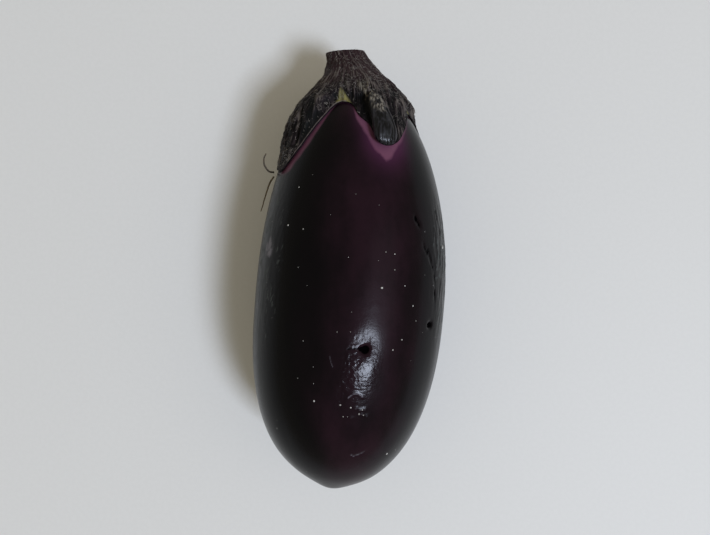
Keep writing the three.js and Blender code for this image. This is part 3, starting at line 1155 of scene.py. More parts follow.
def calyx_marks(points, degrees, y, gap):
    """How strong each kind of mark is on the outside."""
    notch = np.zeros(y.shape)
    for centre, half_base, low, high in GREEN_NOTCHES:
        rise = (y - low) / (high - low)
        across = np.abs(turned(degrees - centre + NOTCH_SLANT * rise)) / half_base
        notch += smooth(1.6 * (1 - rise - across)) * (rise > -0.3)
    shreds = smooth(ridges(points, TORN_SIZE, TORN_SEED) * 2.4 + 0.15)
    # Painted shade in the creases, and the rolled sepal's painted shadow in the groove beside it.
    crease = stroke(degrees, y, CREASE, 0.9) + stroke(degrees, y, GROOVE, 1.3)
    bare = 0.95 * spot(degrees, y, SMOOTH_PLACE, 4.2, 7, 3) + stroke(degrees, y, GROOVE, 1.6)
    fuzz = np.clip(1 - bare, 0, 1) * (1 + 1.5 * spot(degrees, y, LOBE_TIP, 3.5, 3.5))
    fuzz *= smooth(gap / 1.2) * (0.25 + 1.5 * smooth(0.5 + 1.2 * lumps(points, (4, 7, 4), 27)))
    fuzz *= 1 - stroke(degrees, y, UNDER_ROLL, 2.6)
    return {
        "notch": np.clip(notch, 0, 1),
        "torn": np.clip(stroke(degrees, y, TORN, 1.8) * shreds, 0, 1),
        "crease": np.clip(crease, 0, 1),
        "fuzz": np.clip(fuzz, 0, MOST_FUZZ),
        "neck": smooth((y - 62) / 9),
        "crest": crests(degrees, y) + stroke(degrees + 2.6, y, CREASE, 0.4),
        "smooth_patch": spot(degrees, y, SMOOTH_PLACE, 3.6, 6.5, 3),
        "pale_edge": np.interp(degrees, *np.array(PALE_EDGE, float).T),
        "margin": np.exp(-gap / 0.38),
    }


print(f"{len(GREEN_NOTCHES)} notches are still green")

# %% [markdown]
# ## The calyx
#
# The outside, the rim and the inside close over the skin are put together as one stack of rings. The
# edge wavers a little, as a leaf's edge does.

# %% Shape of the calyx
INNER_ROWS = 20
WAVER_HEIGHT = 0.32
WAVER_SIZE = 2.6
WAVER_SEED = 26
WAVER_SQUEEZE = 0.4


def calyx_mesh():
    along_edge = np.stack([edge_degrees * WAVER_SQUEEZE, edge_y, 0 * edge_y], axis=-1)
    rim_y = edge_y + WAVER_HEIGHT * lumps(along_edge, WAVER_SIZE, WAVER_SEED)
    outer, outer_degrees, outer_y, gap = calyx_outside(rim_y)
    rim = calyx_rim(rim_y, outer)
    shares = np.linspace(0, 1, INNER_ROWS + 2)[1:-1, None]
    turns = shoulder_turn(rim_y)[None] * (1 - shares) + 90 * shares
    inner, _ = skin(np.broadcast_to(edge_degrees, turns.shape), turns, GAP * np.ones_like(turns))
    rings = np.concatenate([outer, rim, inner])
    neck = np.array([axis_x(NECK_Y) + lean(NECK_Y), NECK_Y, axis_z(NECK_Y)])
    pole = skin(np.zeros(1), np.array([90.0]), np.array([GAP]))[0][0]
    mesh = closed_rings("calyx_cap", rings, neck, pole)
    sharpen_ring(mesh, 0, CALYX_SIDES)
    keep_places(mesh, "fan", fanned(edge_degrees, rings[..., 1]))
    marks = calyx_marks(outer, outer_degrees, outer_y, gap)
    for name, values in marks.items():
        under = np.full((len(rings) - len(outer), CALYX_SIDES), float(name == "margin"))
        keep_values(mesh, {name: np.concatenate([values, under])})
    return mesh


calyx_shape = calyx_mesh()
print("the calyx's values:", sorted(calyx_shape.attributes.keys()))

# %% [markdown]
# ## Leather of the calyx and the stem
#
# Both are the same wrinkled leather, greyer on the crests of its folds and reddish brown towards the
# neck, and nearly black between its folds, where that black is painted shade. Pale dry strands lie along
# the crests in patches. The folds are read on the same straight tube as the relief, so that colour and
# shape agree.

# %% Leather
LEATHER_BLACK = tone(0.0014, 0.0011, 0.0016)
LEATHER_GREY = tone(0.021, 0.0145, 0.017)
NECK_BROWN = tone(0.036, 0.0175, 0.020)
STRAND_PALE = tone(0.135, 0.115, 0.102)
# Painted shade for the valleys between the folds.
FOLD_SHADE_BLACK = tone(0.0012, 0.0010, 0.0013)


def leather(recipe, neck):
    """Wrinkled leather: its colour, its normal, and the patterns that it is made of."""
    fan = recipe.places("fan")
    crest = recipe.value("crest")
    mottle = recipe.grain(1.6, 5.0, (1, 1.8, 1))
    patches = recipe.grain(5.5, 3.0, (1, 1.6, 1))
    folds = recipe.grain(1.0, 4.0, (1, 7, 1), fan)
    strands = recipe.grain(0.55, 3.0, (1, 8, 1), fan)
    light = recipe.between(mottle * 0.4 + folds * 0.3 + patches * 0.25 + crest * 0.22, 0.46, 0.74)
    base = recipe.mix(light, LEATHER_BLACK, LEATHER_GREY)
    base = recipe.mix((0.4 + 0.55 * folds) * neck, base, NECK_BROWN)
    strand = recipe.between(strands * 0.7 + crest * 0.35, 0.48, 0.70) * recipe.between(patches, 0.36, 0.56)
    base = recipe.mix(strand * 0.8, base, STRAND_PALE)
    # Painted shade: the valleys between the folds are made nearly black.
    valley_shade = recipe.between(folds + 0.15 * crest, 0.47, 0.36)
    base = recipe.mix(valley_shade * 0.85, base, FOLD_SHADE_BLACK)
    wrinkles = recipe.bump(folds, 0.6, 0.9)
    soft = recipe.bump(mottle, 0.45, 0.8, wrinkles)
    return base, recipe.bump(strands, 0.15, 0.7, soft), mottle, folds, strands


print("leather goes from", LEATHER_BLACK[:3], "to", STRAND_PALE[:3])

# %% [markdown]
# ## Finish of the calyx
#
# Over the leather come its marks. The notches between the lobes are still yellow-green, the edge has a
# pale line, and where the sepal has torn, the tissue under its skin shows as pale, dry flecks. The
# creases are nearly black with painted shade, and the groove with the rolled sepal's painted shadow.

# %% Finish of the calyx
SMOOTH_TONE = tone(0.0050, 0.0062, 0.0064)
# Painted shade and painted shadow for the creases and the groove.
CREASE_AND_GROOVE_SHADE = tone(0.0014, 0.0014, 0.0016)
GREEN_DARK = tone(0.095, 0.084, 0.036)
GREEN_PALE = tone(0.22, 0.20, 0.075)
TORN_DARK = tone(0.030, 0.024, 0.020)
TORN_PALE = tone(0.20, 0.18, 0.145)
EDGE_TONE = tone(0.16, 0.13, 0.13)


def calyx_material():
    cap = Recipe("calyx_leather")
    base, fine, mottle, folds, strands = leather(cap, cap.value("neck"))
    base = cap.mix(cap.value("smooth_patch") * 0.8, base, SMOOTH_TONE)
    # Painted shade in the creases, and painted shadow in the groove beside the rolled sepal.
    base = cap.mix(cap.between(cap.value("crease"), 0.2, 0.9), base, CREASE_AND_GROOVE_SHADE)
    green = cap.between(cap.value("notch") * (0.45 + 1.1 * mottle), 0.2, 0.9)
    base = cap.mix(green, base, cap.mix(cap.between(folds, 0.4, 0.6), GREEN_DARK, GREEN_PALE))
    torn = cap.between(cap.value("torn") * (0.5 + mottle), 0.25, 0.85)
    base = cap.mix(torn, base, cap.mix(cap.between(strands, 0.42, 0.62), TORN_DARK, TORN_PALE))
    margin = cap.value("margin") * cap.value("pale_edge") * (0.5 + 0.9 * mottle)
    base = cap.mix(cap.between(margin, 0.28, 0.75) * 0.9, base, EDGE_TONE)
    rough = 0.62 + 0.25 * (mottle - 0.5) + 0.15 * torn
    return cap.finish(base, rough, fine, shine=0.10)


calyx = place_piece("calyx_cap", calyx_shape, calyx_material())

# %% [markdown]
# ## The stem
#
# The stem is the stub of the stalk, cut off a few millimetres above the calyx. It goes on from the
# calyx's neck, leans to one side, and has the same folds as shallow ribs. The cut is slightly askew,
# with a rounded rim and a sunken middle.

# %% Shape of the stem
STEM_OUTLINE = [
    (71, 11.6), (73, 10.1), (74.4, 9.35), (76.4, 8.1), (78.4, 7.0), (80.9, 6.5), (82.5, 6.4),
]
STEM_TOP_Y = 81.3
STEM_TOP_RADIUS = 6.5
STEM_ROUNDING = 0.4
STEM_SKEW = 0.065
STEM_TILT = 0.22
CUT_DEPTH = 0.55
RIB_HEIGHT = 0.5
STEM_SIDES = 160
STEM_ROWS = 40
RIM_STEPS = 5
CUT_ROWS = 14


def stem_profile():
    """Heights and radii of the stem's rings, up its side, over its rim and in across the cut."""
    line = smooth_line(STEM_OUTLINE, OUTLINE_TENSION, 16)
    side_end = STEM_TOP_Y - STEM_ROUNDING
    face_radius = STEM_TOP_RADIUS - STEM_ROUNDING
    side = np.linspace(NECK_Y, side_end, STEM_ROWS)
    rim = np.radians(np.linspace(0, 90, RIM_STEPS + 1)[1:])
    inward = np.linspace(1, 0, CUT_ROWS + 1)[1:-1]
    sunken = STEM_TOP_Y - CUT_DEPTH * smooth((1 - inward) * 2.2)
    heights = [side, side_end + STEM_ROUNDING * np.sin(rim), sunken]
    radii = [np.interp(side, *line.T), face_radius + STEM_ROUNDING * np.cos(rim), face_radius * inward]
    return np.concatenate(heights), np.concatenate(radii)


def stem_mesh():
    degrees = np.linspace(0, 360, STEM_SIDES, endpoint=False)
    heights, radii = stem_profile()
    turn, y = np.meshgrid(degrees, heights)
    radius = np.broadcast_to(radii[:, None], y.shape)
    plain = around(turn, y, radius)
    on_side = (np.arange(len(heights)) < STEM_ROWS + RIM_STEPS - 1)[:, None]
    ribs = RIB_HEIGHT * crests(turn, y) + 0.14 * lumps(plain, (0.9, 3, 0.9), 32) - 0.1
    radius = radius + on_side * smooth((y - NECK_Y) / 1.5) * ribs
    points = around(turn, y, radius)
    rise = smooth((y - NECK_Y) / (STEM_CUT_Y - NECK_Y))
    points[..., 1] += STEM_SKEW * (points[..., 0] - axis_x(y)) * rise
    points[..., 1] -= STEM_TILT * (points[..., 2] - axis_z(y)) * rise
    points[..., 1] += (~on_side) * 0.15 * lumps(plain, 1.1, 33)
    points[..., 0] += lean(y)
    first = np.array([axis_x(NECK_Y) + lean(NECK_Y), NECK_Y, axis_z(NECK_Y)])
    mesh = closed_rings("stem_stub", points, first, points[-1].mean(axis=0))
    sharpen_ring(mesh, 0, STEM_SIDES)
    keep_places(mesh, "fan", fanned(turn, y))
    cut = np.broadcast_to((~on_side).astype(float), y.shape)
    from_middle = radius / STEM_TOP_RADIUS
    keep_values(mesh, {"cut": cut, "crest": crests(turn, y), "from_middle": from_middle})
    keep_values(mesh, {"fuzz": (1 - cut) * 0.8})
    return mesh


stem_shape = stem_mesh()
print("the stem's values:", sorted(stem_shape.attributes.keys()))

# %% [markdown]
# ## Finish of the stem
#
# The side of the stem is the calyx's leather, reddish all over. The cut has dried: a pale brown middle
# with corky flecks, darker towards its rim.

# %% Finish of the stem
CUT_MIDDLE = tone(0.055, 0.040, 0.024)
CUT_RIM = tone(0.020, 0.013, 0.010)
CUT_FLECK = tone(0.11, 0.085, 0.05)


def stem_material():
    bark = Recipe("stem_bark")
    base, fine, mottle, _, _ = leather(bark, 1.0)
    rim = bark.between(bark.value("from_middle"), 0.56, 0.965)
    face = bark.mix(rim, CUT_MIDDLE, CUT_RIM)
    face = bark.mix(bark.between(mottle, 0.45, 0.7) * 0.6, face, CUT_FLECK)
    base = bark.mix(bark.value("cut"), base, face)
    return bark.finish(base, 0.68 + 0.2 * (mottle - 0.5), fine, shine=0.12)


stem = place_piece("stem_stub", stem_shape, stem_material())

# %% [markdown]
# ## The rolled sepal
#
# On the lobe beside the notch lies a tongue of sepal that has curled over itself as it dried. It is
# narrow where it tears away and swollen at its free end. It is made like a long drop: a middle line on
# the calyx, a width and a height for each place along it, and ends that round off as a quarter circle
# does. A fold and a raised lip run down its right side, and its torn end is crumpled.

# %% Outline of the rolled sepal
ROLL_MIDDLE = [(8, 68), (14.2, 62), (17.6, 56.5), (19.4, 52), (20.3, 48), (20.8, 43.2), (21.2, 40)]
ROLL_WIDTH = [(62, 1.3), (59.5, 2.1), (56, 2.7), (52, 3.15), (48, 3.45), (45.5, 3.4), (43.2, 3.0)]
ROLL_HEIGHT = [
    (66, 0.8), (62, 1.2), (58, 1.9), (54, 2.9), (51.5, 3.4), (49.4, 3.4), (47.8, 3.0), (46.5, 2.35),
    (45.2, 1.6), (44, 1.0), (43, 0.6),
]
ROLL_START_Y = 62
ROLL_END_Y = 44
ROLL_FOOT = 0.35
ROLL_ROWS = 90
ROLL_SIDES = 72


def round_off(to_end, reach):
    """Swells from 0 at an end to 1 at a reach from it, as a quarter circle does."""
    return np.sqrt(1 - (1 - np.clip(to_end / reach, 0, 1)) ** 2)


def roll_outline():
    """Places along the tongue, with its middle, half width and height at each."""
    share = (1 - np.cos(np.linspace(0, math.pi, ROLL_ROWS + 2)[1:-1])) / 2
    y = ROLL_START_Y + share * (ROLL_END_Y - ROLL_START_Y)
    middle = smooth_line(ROLL_MIDDLE, OUTLINE_TENSION, 30)[::-1]
    width = np.array(ROLL_WIDTH[::-1], float)
    height = smooth_line(ROLL_HEIGHT, OUTLINE_TENSION, 20)[::-1]
    centre = np.interp(y, middle[:, 1], middle[:, 0])
    torn_end = round_off(ROLL_START_Y - y, 2)
    half = np.interp(y, *width.T) * round_off(y - ROLL_END_Y, 3.2) * torn_end
    tall = np.interp(y, *height.T) * round_off(y - ROLL_END_Y, 1.8) * torn_end
    foot = ROLL_FOOT * (1 - np.abs(2 * share - 1) ** 7) ** 0.5
    return y, centre, half, tall, foot


print(f"the rolled sepal is {2 * roll_outline()[2].max():.1f} mm wide")

# %% [markdown]
# ## Relief of the rolled sepal
#
# The upper half of each ring is rounder than a circle, as a rolled leaf is. Fine lines run lengthwise
# and fade at the tip, which is smooth and catches the light.

# %% Shape of the rolled sepal
ROLL_ROUNDNESS = 0.65
LINE_HEIGHT = 0.24
LINE_WIDTH = 0.6
LINE_STRETCH = 0.09
# Across the tongue, as a share of its half width: place, width and height in millimetres.
FOLD = (0.62, 0.14, -0.35)
LIP = (0.82, 0.12, 0.30)
DIMPLES = [(3.2, 42, 0.20), ((0.8, 1.6, 0.8), 43, 0.04)]
CRUMPLE_HEIGHT = 0.45


def lengthwise(share, place, line):
    """A fold or a lip down the tongue, which fades out at its tip."""
    middle, width, height = line
    return height * np.exp(-(((share - middle) / width) ** 2)) * smooth((place - ROLL_END_Y) / 3)


def rolled_mesh():
    y, centre, half, tall, foot = roll_outline()
    turn, place = np.meshgrid(np.linspace(0, 2 * math.pi, ROLL_SIDES, endpoint=False), y)
    across = np.cos(turn) * half[:, None]
    upper = np.sin(turn) > 0
    above = np.abs(np.sin(turn)) ** ROLL_ROUNDNESS * tall[:, None]
    profile = np.where(upper, above, np.sin(turn) * foot[:, None])
    lobe = cap_radius(centre, y)[:, None]
    degrees = centre[:, None] + np.degrees(across / lobe)
    base = lobe + GAP + ROLL_FOOT + profile
    plain = around(degrees, place, base)
    along = np.stack([across, place * LINE_STRETCH, 0 * place], axis=-1)
    lines = LINE_HEIGHT * lumps(along, LINE_WIDTH, 41) * (1 - 0.65 * smooth((50 - place) / 4))
    crumpled = stroke(degrees, place, TORN, 1.8) * ridges(plain, (0.9, 3, 0.9), TORN_SEED)
    fold = lengthwise(across / half[:, None], place, FOLD)
    lip = lengthwise(across / half[:, None], place, LIP)
    lift = upper * np.abs(np.sin(turn)) * (lines + uneven(plain, DIMPLES) + CRUMPLE_HEIGHT * crumpled)
    lift = lift + upper * (fold + lip) * 0.8
    points = around(degrees, place, base + lift)
    mesh = closed_rings("rolled_sepal", points, points[0].mean(axis=0), points[-1].mean(axis=0))
    torn = stroke(degrees, place, TORN, 2.3) * smooth(0.75 + 1.1 * lumps(plain, (0.8, 2.2, 0.8), 44))
    tip = np.broadcast_to(smooth((51 - place) / 6), place.shape)
    pale_lip = np.clip(lip / LIP[2], 0, 1) * upper
    keep_values(mesh, {"torn": np.clip(torn, 0, 1) * upper, "lip": pale_lip, "tip": tip})
    return mesh


rolled_shape = rolled_mesh()
print("the rolled sepal's values:", sorted(rolled_shape.attributes.keys()))

# %% [markdown]
# ## Finish of the rolled sepal
#
# It is smoother and shinier than the calyx, nearly black with slate-grey streaks. The torn end is dry
# and pale, and the lip down its side is a little paler.

# %% Finish of the rolled sepal
ROLL_BLACK = tone(0.0010, 0.0010, 0.0015)
ROLL_SLATE = tone(0.022, 0.021, 0.026)
ROLL_TORN_PALE = tone(0.19, 0.17, 0.14)
ROLL_LIP = tone(0.060, 0.054, 0.058)


def rolled_material():
    roll = Recipe("rolled_sepal")
    streaks = roll.grain(0.7, 3.0, (1, 9, 1))
    mottle = roll.grain(1.2, 3.0, (1, 2, 1))
    base = roll.mix(roll.between(streaks, 0.42, 0.72), ROLL_BLACK, ROLL_SLATE)
    torn = roll.between(roll.value("torn") * (0.5 + mottle), 0.25, 0.9)
    base = roll.mix(torn, base, roll.mix(roll.between(streaks, 0.42, 0.6), TORN_DARK, ROLL_TORN_PALE))
    lip = roll.between(roll.value("lip") * (0.6 + streaks), 0.5, 1.1)
    base = roll.mix(lip * 0.6, base, ROLL_LIP)
    rough = 0.46 - 0.21 * roll.value("tip") + 0.35 * torn + 0.15 * (mottle - 0.5)
    return roll.finish(base, rough, roll.bump(streaks, 0.3, 0.7), shine=0.22)


rolled = place_piece("rolled_sepal", rolled_shape, rolled_material())

# %% [markdown]
# ## Dry fibres
#
# Two dry fibres stand off the tip of the broad lobe: one curls up like a hook and one points back
# along the fruit. Each is a thread that tapers along a smooth line. Its ring of eight points is a
# little flattened, as dry fibres are. The finish is made by a helper that the fuzz, the specks and the
# floor use as well: one grain decides the tone, the dullness and the bump.

# %% Fibres
CURLED_FIBRE = [
    (-26.1, 39.3, 33.4), (-27.6, 39.5, 34.6), (-28.8, 41.2, 35.6), (-29, 43.4, 36.2), (-28.3, 45, 36.2),
]
STRAIGHT_FIBRE = [(-26.4, 38.2, 31.2), (-28, 35, 31.6), (-29.7, 30, 31), (-30.9, 26.3, 30)]
FIBRE_SIDES = 8
FIBRE_FLATNESS = 0.7
FIBRE_WAVER = 0.12
FIBRE_DARK = tone(0.03, 0.022, 0.014)
FIBRE_BROWN = tone(0.07, 0.05, 0.03)
FIBRE_PALE = tone(0.16, 0.12, 0.07)


def fibre_mesh(name, places, thick, thin, seed):
    """A thread along a smooth line through places, which tapers from thick to thin."""
    places = np.array(places, float)
    guides = np.concatenate([[2 * places[0] - places[1]], places, [2 * places[-1] - places[-2]]])
    line = smooth_line(guides, OUTLINE_TENSION, 14)
    line = line + FIBRE_WAVER * np.stack([lumps(line, 2.5, seed + part) for part in range(3)], axis=-1)
    along = np.gradient(line, axis=0)
    along /= np.linalg.norm(along, axis=1)[:, None]
    sideways = np.cross(along, (0.0, 0.35, 1.0))
    sideways /= np.linalg.norm(sideways, axis=1)[:, None]
    upward = np.cross(sideways, along)
    radius = np.linspace(thick, thin, len(line))[:, None, None]
    turn = np.linspace(0, 2 * math.pi, FIBRE_SIDES, endpoint=False)[None, :, None]
    ring = np.cos(turn) * sideways[:, None] + FIBRE_FLATNESS * np.sin(turn) * upward[:, None]
    return closed_rings(name, line[:, None] + radius * ring, line[0], line[-1] + 0.2 * along[-1])


def flecked(name, tones, grain, dullness, relief):
    """A dry finish whose tone, dullness and bump all follow one grain."""
    dry = Recipe(name)
    flecks = dry.grain(*grain)
    base = dry.mix(dry.between(flecks, 0.35, 0.65), *tones)
    middle, change = dullness
    return dry.finish(base, middle + change * (flecks - 0.5), dry.bump(flecks, *relief))


FIBRE_LOOK = ((0.8, 3.0), (0.75, 0.15), (0.1, 0.4))
curled_shape = fibre_mesh("fibre_curled", CURLED_FIBRE, 0.36, 0.2, 51)
curled_finish = flecked("dry_fibre_dark", (FIBRE_DARK, FIBRE_BROWN), *FIBRE_LOOK)
curled_fibre = place_piece("fibre_curled", curled_shape, curled_finish)
straight_shape = fibre_mesh("fibre_straight", STRAIGHT_FIBRE, 0.34, 0.17, 61)
straight_finish = flecked("dry_fibre_pale", (FIBRE_BROWN, FIBRE_PALE), *FIBRE_LOOK)
straight_fibre = place_piece("fibre_straight", straight_shape, straight_finish)

# %% [markdown]
# ## Geometry Nodes for what grows in hundreds
#
# The calyx and the stem are covered with short, pale hairs that lie nearly flat, and the skin has a
# scatter of tiny pale specks. Placing thousands of them by hand makes no sense, so a small tree of
# geometry nodes does it: it takes a surface, spreads points over it, puts a copy of one small shape on
# each, and turns the copies into real mesh. `Grower` builds such a tree in the way of `Recipe`.


# %% Trees of geometry nodes
class Grower:
    """One tree of geometry nodes, built node by node."""

    def __init__(self, name, sizes):
        self.tree = bpy.data.node_groups.new(name, "GeometryNodeTree")
        sockets = self.tree.interface
        sockets.new_socket("Geometry", in_out="INPUT", socket_type="NodeSocketGeometry")
        for size_name, kind, value in sizes:
            socket = sockets.new_socket(size_name, in_out="INPUT", socket_type=kind)
            socket.default_value = value
        sockets.new_socket("Geometry", in_out="OUTPUT", socket_type="NodeSocketGeometry")
        self.given = self.tree.nodes.new("NodeGroupInput")

    def node(self, kind, settings, feeds):
        made = self.tree.nodes.new(kind)
        for name, value in settings.items():
            setattr(made, name, value)
        for name, value in feeds.items():
            if isinstance(value, bpy.types.NodeSocket):
                self.tree.links.new(value, made.inputs[name])
            else:
                made.inputs[name].default_value = value
        return made

    def read(self, kind, name):
        """A value or direction that was stored on the points."""
        made = self.node("GeometryNodeInputNamedAttribute", {"data_type": kind}, {"Name": name})
        return made.outputs["Attribute"]

    def chance(self, low, high, seed):
        """Three numbers by chance for each point, between low and high."""
        settings = {"data_type": "FLOAT_VECTOR"}
        feeds = {"Min": low, "Max": high, "Seed": seed}
        return self.node("FunctionNodeRandomValue", settings, feeds).outputs[0]

    def finish(self, points, shape, rotation, scale, material):
        """Puts a copy of the shape on each point, makes the copies real, and gives them their finish."""
        feeds = {"Points": points, "Instance": shape, "Rotation": rotation, "Scale": scale}
        copies = self.node("GeometryNodeInstanceOnPoints", {}, feeds)
        real = self.node("GeometryNodeRealizeInstances", {}, {"Geometry": copies.outputs[0]})
        feeds = {"Geometry": real.outputs[0], "Material": material}
        dressed = self.node("GeometryNodeSetMaterial", {}, feeds)
        self.node("NodeGroupOutput", {}, {"Geometry": dressed.outputs[0]})
        print(f"{self.tree.name}: a tree of {len(self.tree.nodes)} nodes")
        return self.tree

# %% [markdown]
# ## From a tree to a plain mesh
#
# A modifier runs the tree on a mesh. Its inputs are set by their identifiers before anything is
# evaluated. The result is copied out as an ordinary mesh and the modifier is removed, so that the piece
# is as solid as the others.


# %% Grow a piece
def grow(name, ground, tree, sizes):
    """Runs a tree on a mesh and keeps what it grows as a plain mesh."""
    piece = bpy.data.objects.new(name, ground)
    bpy.context.scene.collection.objects.link(piece)
    modifier = piece.modifiers.new(name, "NODES")
    modifier.node_group = tree
    for item in tree.interface.items_tree:
        if item.in_out == "INPUT" and item.name in sizes:
            modifier[item.identifier] = sizes[item.name]
    graph = bpy.context.evaluated_depsgraph_get()
    grown = bpy.data.meshes.new_from_object(piece.evaluated_get(graph))
    piece.modifiers.remove(modifier)
    piece.data = grown
    print(f"{name}: {len(grown.polygons)} faces")
    return piece

# %% [markdown]
# ## Fuzz
#
# A hair is a thin three-sided cone. The tree spreads the points by chance, more where the stored value
# `fuzz` is high, tips each hair over until it nearly lies on the surface, and spins it any way round.
# The calyx and the stem grow from the same tree, each with its own seed.

# %% Fuzz of the calyx and the stem
FULL_TURN = 6.283
HAIR_SIZES = [
    ("Hairs per Square Metre", "NodeSocketFloat", 1.5e6),
    ("Hair Length", "NodeSocketFloat", 0.0011),
    ("Hair Radius", "NodeSocketFloat", 0.000045),
    ("Seed", "NodeSocketInt", 7),
]
HAIR_TILT = (1.25, 1.5)
SHORTEST_HAIR = (0.7, 0.7, 0.45)
LONGEST_HAIR = (1.4, 1.4, 1.3)
LENGTH_SEED = 11
FUZZ_DARK = tone(0.07, 0.058, 0.052)
FUZZ_PALE = tone(0.27, 0.245, 0.215)


def fuzz_tree(material):
    hair = Grower("fuzz", HAIR_SIZES)
    given = hair.given.outputs
    feeds = {0: hair.read("FLOAT", "fuzz"), 1: given["Hairs per Square Metre"]}
    density = hair.node("ShaderNodeMath", {"operation": "MULTIPLY"}, feeds)
    feeds = {"Mesh": given["Geometry"], "Density": density.outputs[0], "Seed": given["Seed"]}
    spread = hair.node("GeometryNodeDistributePointsOnFaces", {"distribute_method": "RANDOM"}, feeds)
    feeds = {"Radius Top": 0.0, "Radius Bottom": given["Hair Radius"], "Depth": given["Hair Length"]}
    cone = hair.node("GeometryNodeMeshCone", {"fill_type": "TRIANGLE_FAN"}, {"Vertices": 3} | feeds)
    least_tilt, most_tilt = HAIR_TILT
    lay = hair.chance((least_tilt, 0.0, 0.0), (most_tilt, 0.0, FULL_TURN), given["Seed"])
    spin = hair.node("FunctionNodeEulerToRotation", {}, {"Euler": lay})
    feeds = {"Rotation": spread.outputs["Rotation"], "Rotate By": spin.outputs[0]}
    laid = hair.node("FunctionNodeRotateRotation", {"rotation_space": "LOCAL"}, feeds)
    length = hair.chance(SHORTEST_HAIR, LONGEST_HAIR, LENGTH_SEED)
    return hair.finish(spread.outputs["Points"], cone.outputs["Mesh"], laid.outputs[0], length, material)


fuzz_finish = flecked("pale_fuzz", (FUZZ_DARK, FUZZ_PALE), (2.5, 2.0), (0.8, 0.1), (0.02, 0.2))
hairs = fuzz_tree(fuzz_finish)
calyx_fuzz = grow("calyx_fuzz", calyx.data, hairs, {"Seed": 7})
stem_fuzz = grow("stem_fuzz", stem.data, hairs, {"Seed": 8})

# %% [markdown]
# ## Places of the specks
#
# The skin's pale specks are tiny dried bits of wax and dust. A few larger ones have their own places,
# and the rest are spread by chance. The six on the bumps below the pit are also painted glints: pale
# where those bumps catch the light. They have to sit on the relief, so their places are worked out in
# the same way as the skin's own points.

# %% Places of the specks
# Angle, place along the fruit and radius, in degrees and millimetres.
SPECKS = [
    (17.1, 1.0, 0.34), (-37.1, 31.7, 0.24), (-41.2, 20, 0.24), (-29.5, 18.6, 0.26), (18.6, 11.6, 0.18),
    (23.9, 11, 0.2), (24.1, 6.3, 0.2), (30.8, 1.5, 0.2), (37.1, -4.6, 0.22), (40.2, -9.2, 0.18),
    (31.4, -14.6, 0.26), (26.3, -17.5, 0.22), (-16, -32.5, 0.32), (41.6, -51.5, 0.34), (-5.2, -11.8, 0.16),
    # From (-0.7, -33.5) to (1.4, -37.1): specks on the bumps, pale as painted glints.
    (-23.7, -14.7, 0.18), (-0.7, -33.5, 0.26), (5.4, -34.3, 0.2), (12.3, -35.1, 0.22), (10.7, -36.4, 0.26),
    (13.4, -36.8, 0.18), (1.4, -37.1, 0.18), (68, 13.6, 0.6),
]
CHANCE_SPECKS = 60
CHANCE_SEED = 5
CHANCE_DEGREES = (-130, 130)
CHANCE_Y = (-58, 36)
CHANCE_RADIUS = (0.07, 0.14)


def speck_places():
    """Points on the skin that carry a speck, with the skin's normal and the speck's radius."""
    chance = np.random.default_rng(CHANCE_SEED)
    ranges = (CHANCE_DEGREES, CHANCE_Y, CHANCE_RADIUS)
    spread = [chance.uniform(low, high, CHANCE_SPECKS) for low, high in ranges]
    degrees, y, sizes = np.concatenate([np.array(SPECKS).T, spread], axis=1)
    length, fullness = half_of(y)
    share = np.abs(y - WIDEST_Y) / length
    turn = np.sign(y - WIDEST_Y) * np.degrees(np.arcsin(share ** (fullness / 2)))
    plain, _ = skin(degrees, turn)
    lift = skin_relief(plain[:, None], degrees[:, None], y[:, None])[:, 0]
    points, normals = skin(degrees, turn, lift)
    mesh = bpy.data.meshes.new("speck_places")
    mesh.from_pydata((points * MM).tolist(), [], [])
    facing = mesh.attributes.new("facing", "FLOAT_VECTOR", "POINT")
    facing.data.foreach_set("vector", normals.astype(np.float32).reshape(-1))
    width = mesh.attributes.new("width", "FLOAT", "POINT")
    width.data.foreach_set("value", (sizes * MM).astype(np.float32))
    return mesh


speck_ground = speck_places()
print(f"{len(speck_ground.vertices)} specks")

# %% [markdown]
# ## Specks
#
# Each speck is a small ball of 80 faces, flattened onto the skin and a little uneven in width. The
# tree turns it so that its short side points along the skin's normal.

# %% Specks on the skin
SPECK_FLATNESS = 0.45
NARROWEST_SPECK = (0.75, 0.75, 1.0)
WIDEST_SPECK = (1.25, 1.25, 1.0)
SPECK_DARK = tone(0.22, 0.21, 0.19)
# Pale of dried wax and dust; on the bumps below the pit also painted glints.
SPECK_PALE = tone(0.50, 0.49, 0.46)


def speck_tree(material):
    sizes = [("Flatness", "NodeSocketFloat", SPECK_FLATNESS), ("Seed", "NodeSocketInt", 3)]
    speck = Grower("specks", sizes)
    given = speck.given.outputs
    facing = {"Vector": speck.read("FLOAT_VECTOR", "facing")}
    upright = speck.node("FunctionNodeAlignRotationToVector", {"axis": "Z"}, facing)
    squashed = speck.node("ShaderNodeCombineXYZ", {}, {"X": 1.0, "Y": 1.0, "Z": given["Flatness"]})
    feeds = {0: speck.chance(NARROWEST_SPECK, WIDEST_SPECK, given["Seed"]), 1: squashed.outputs[0]}
    flat = speck.node("ShaderNodeVectorMath", {"operation": "MULTIPLY"}, feeds)
    feeds = {0: flat.outputs[0], "Scale": speck.read("FLOAT", "width")}
    sized = speck.node("ShaderNodeVectorMath", {"operation": "SCALE"}, feeds)
    ball = speck.node("GeometryNodeMeshIcoSphere", {}, {"Radius": 1.0, "Subdivisions": 2})
    shape = ball.outputs["Mesh"]
    return speck.finish(given["Geometry"], shape, upright.outputs[0], sized.outputs[0], material)


speck_finish = flecked("pale_specks", (SPECK_DARK, SPECK_PALE), (1.5, 2.0), (0.7, 0.1), (0.02, 0.2))
specks = grow("skin_specks", speck_ground, speck_tree(speck_finish), {"Seed": 3})

# %% [markdown]
# ## Floor
#
# The eggplant lies on a plain pale floor. A very faint grain keeps it from looking like empty paper.

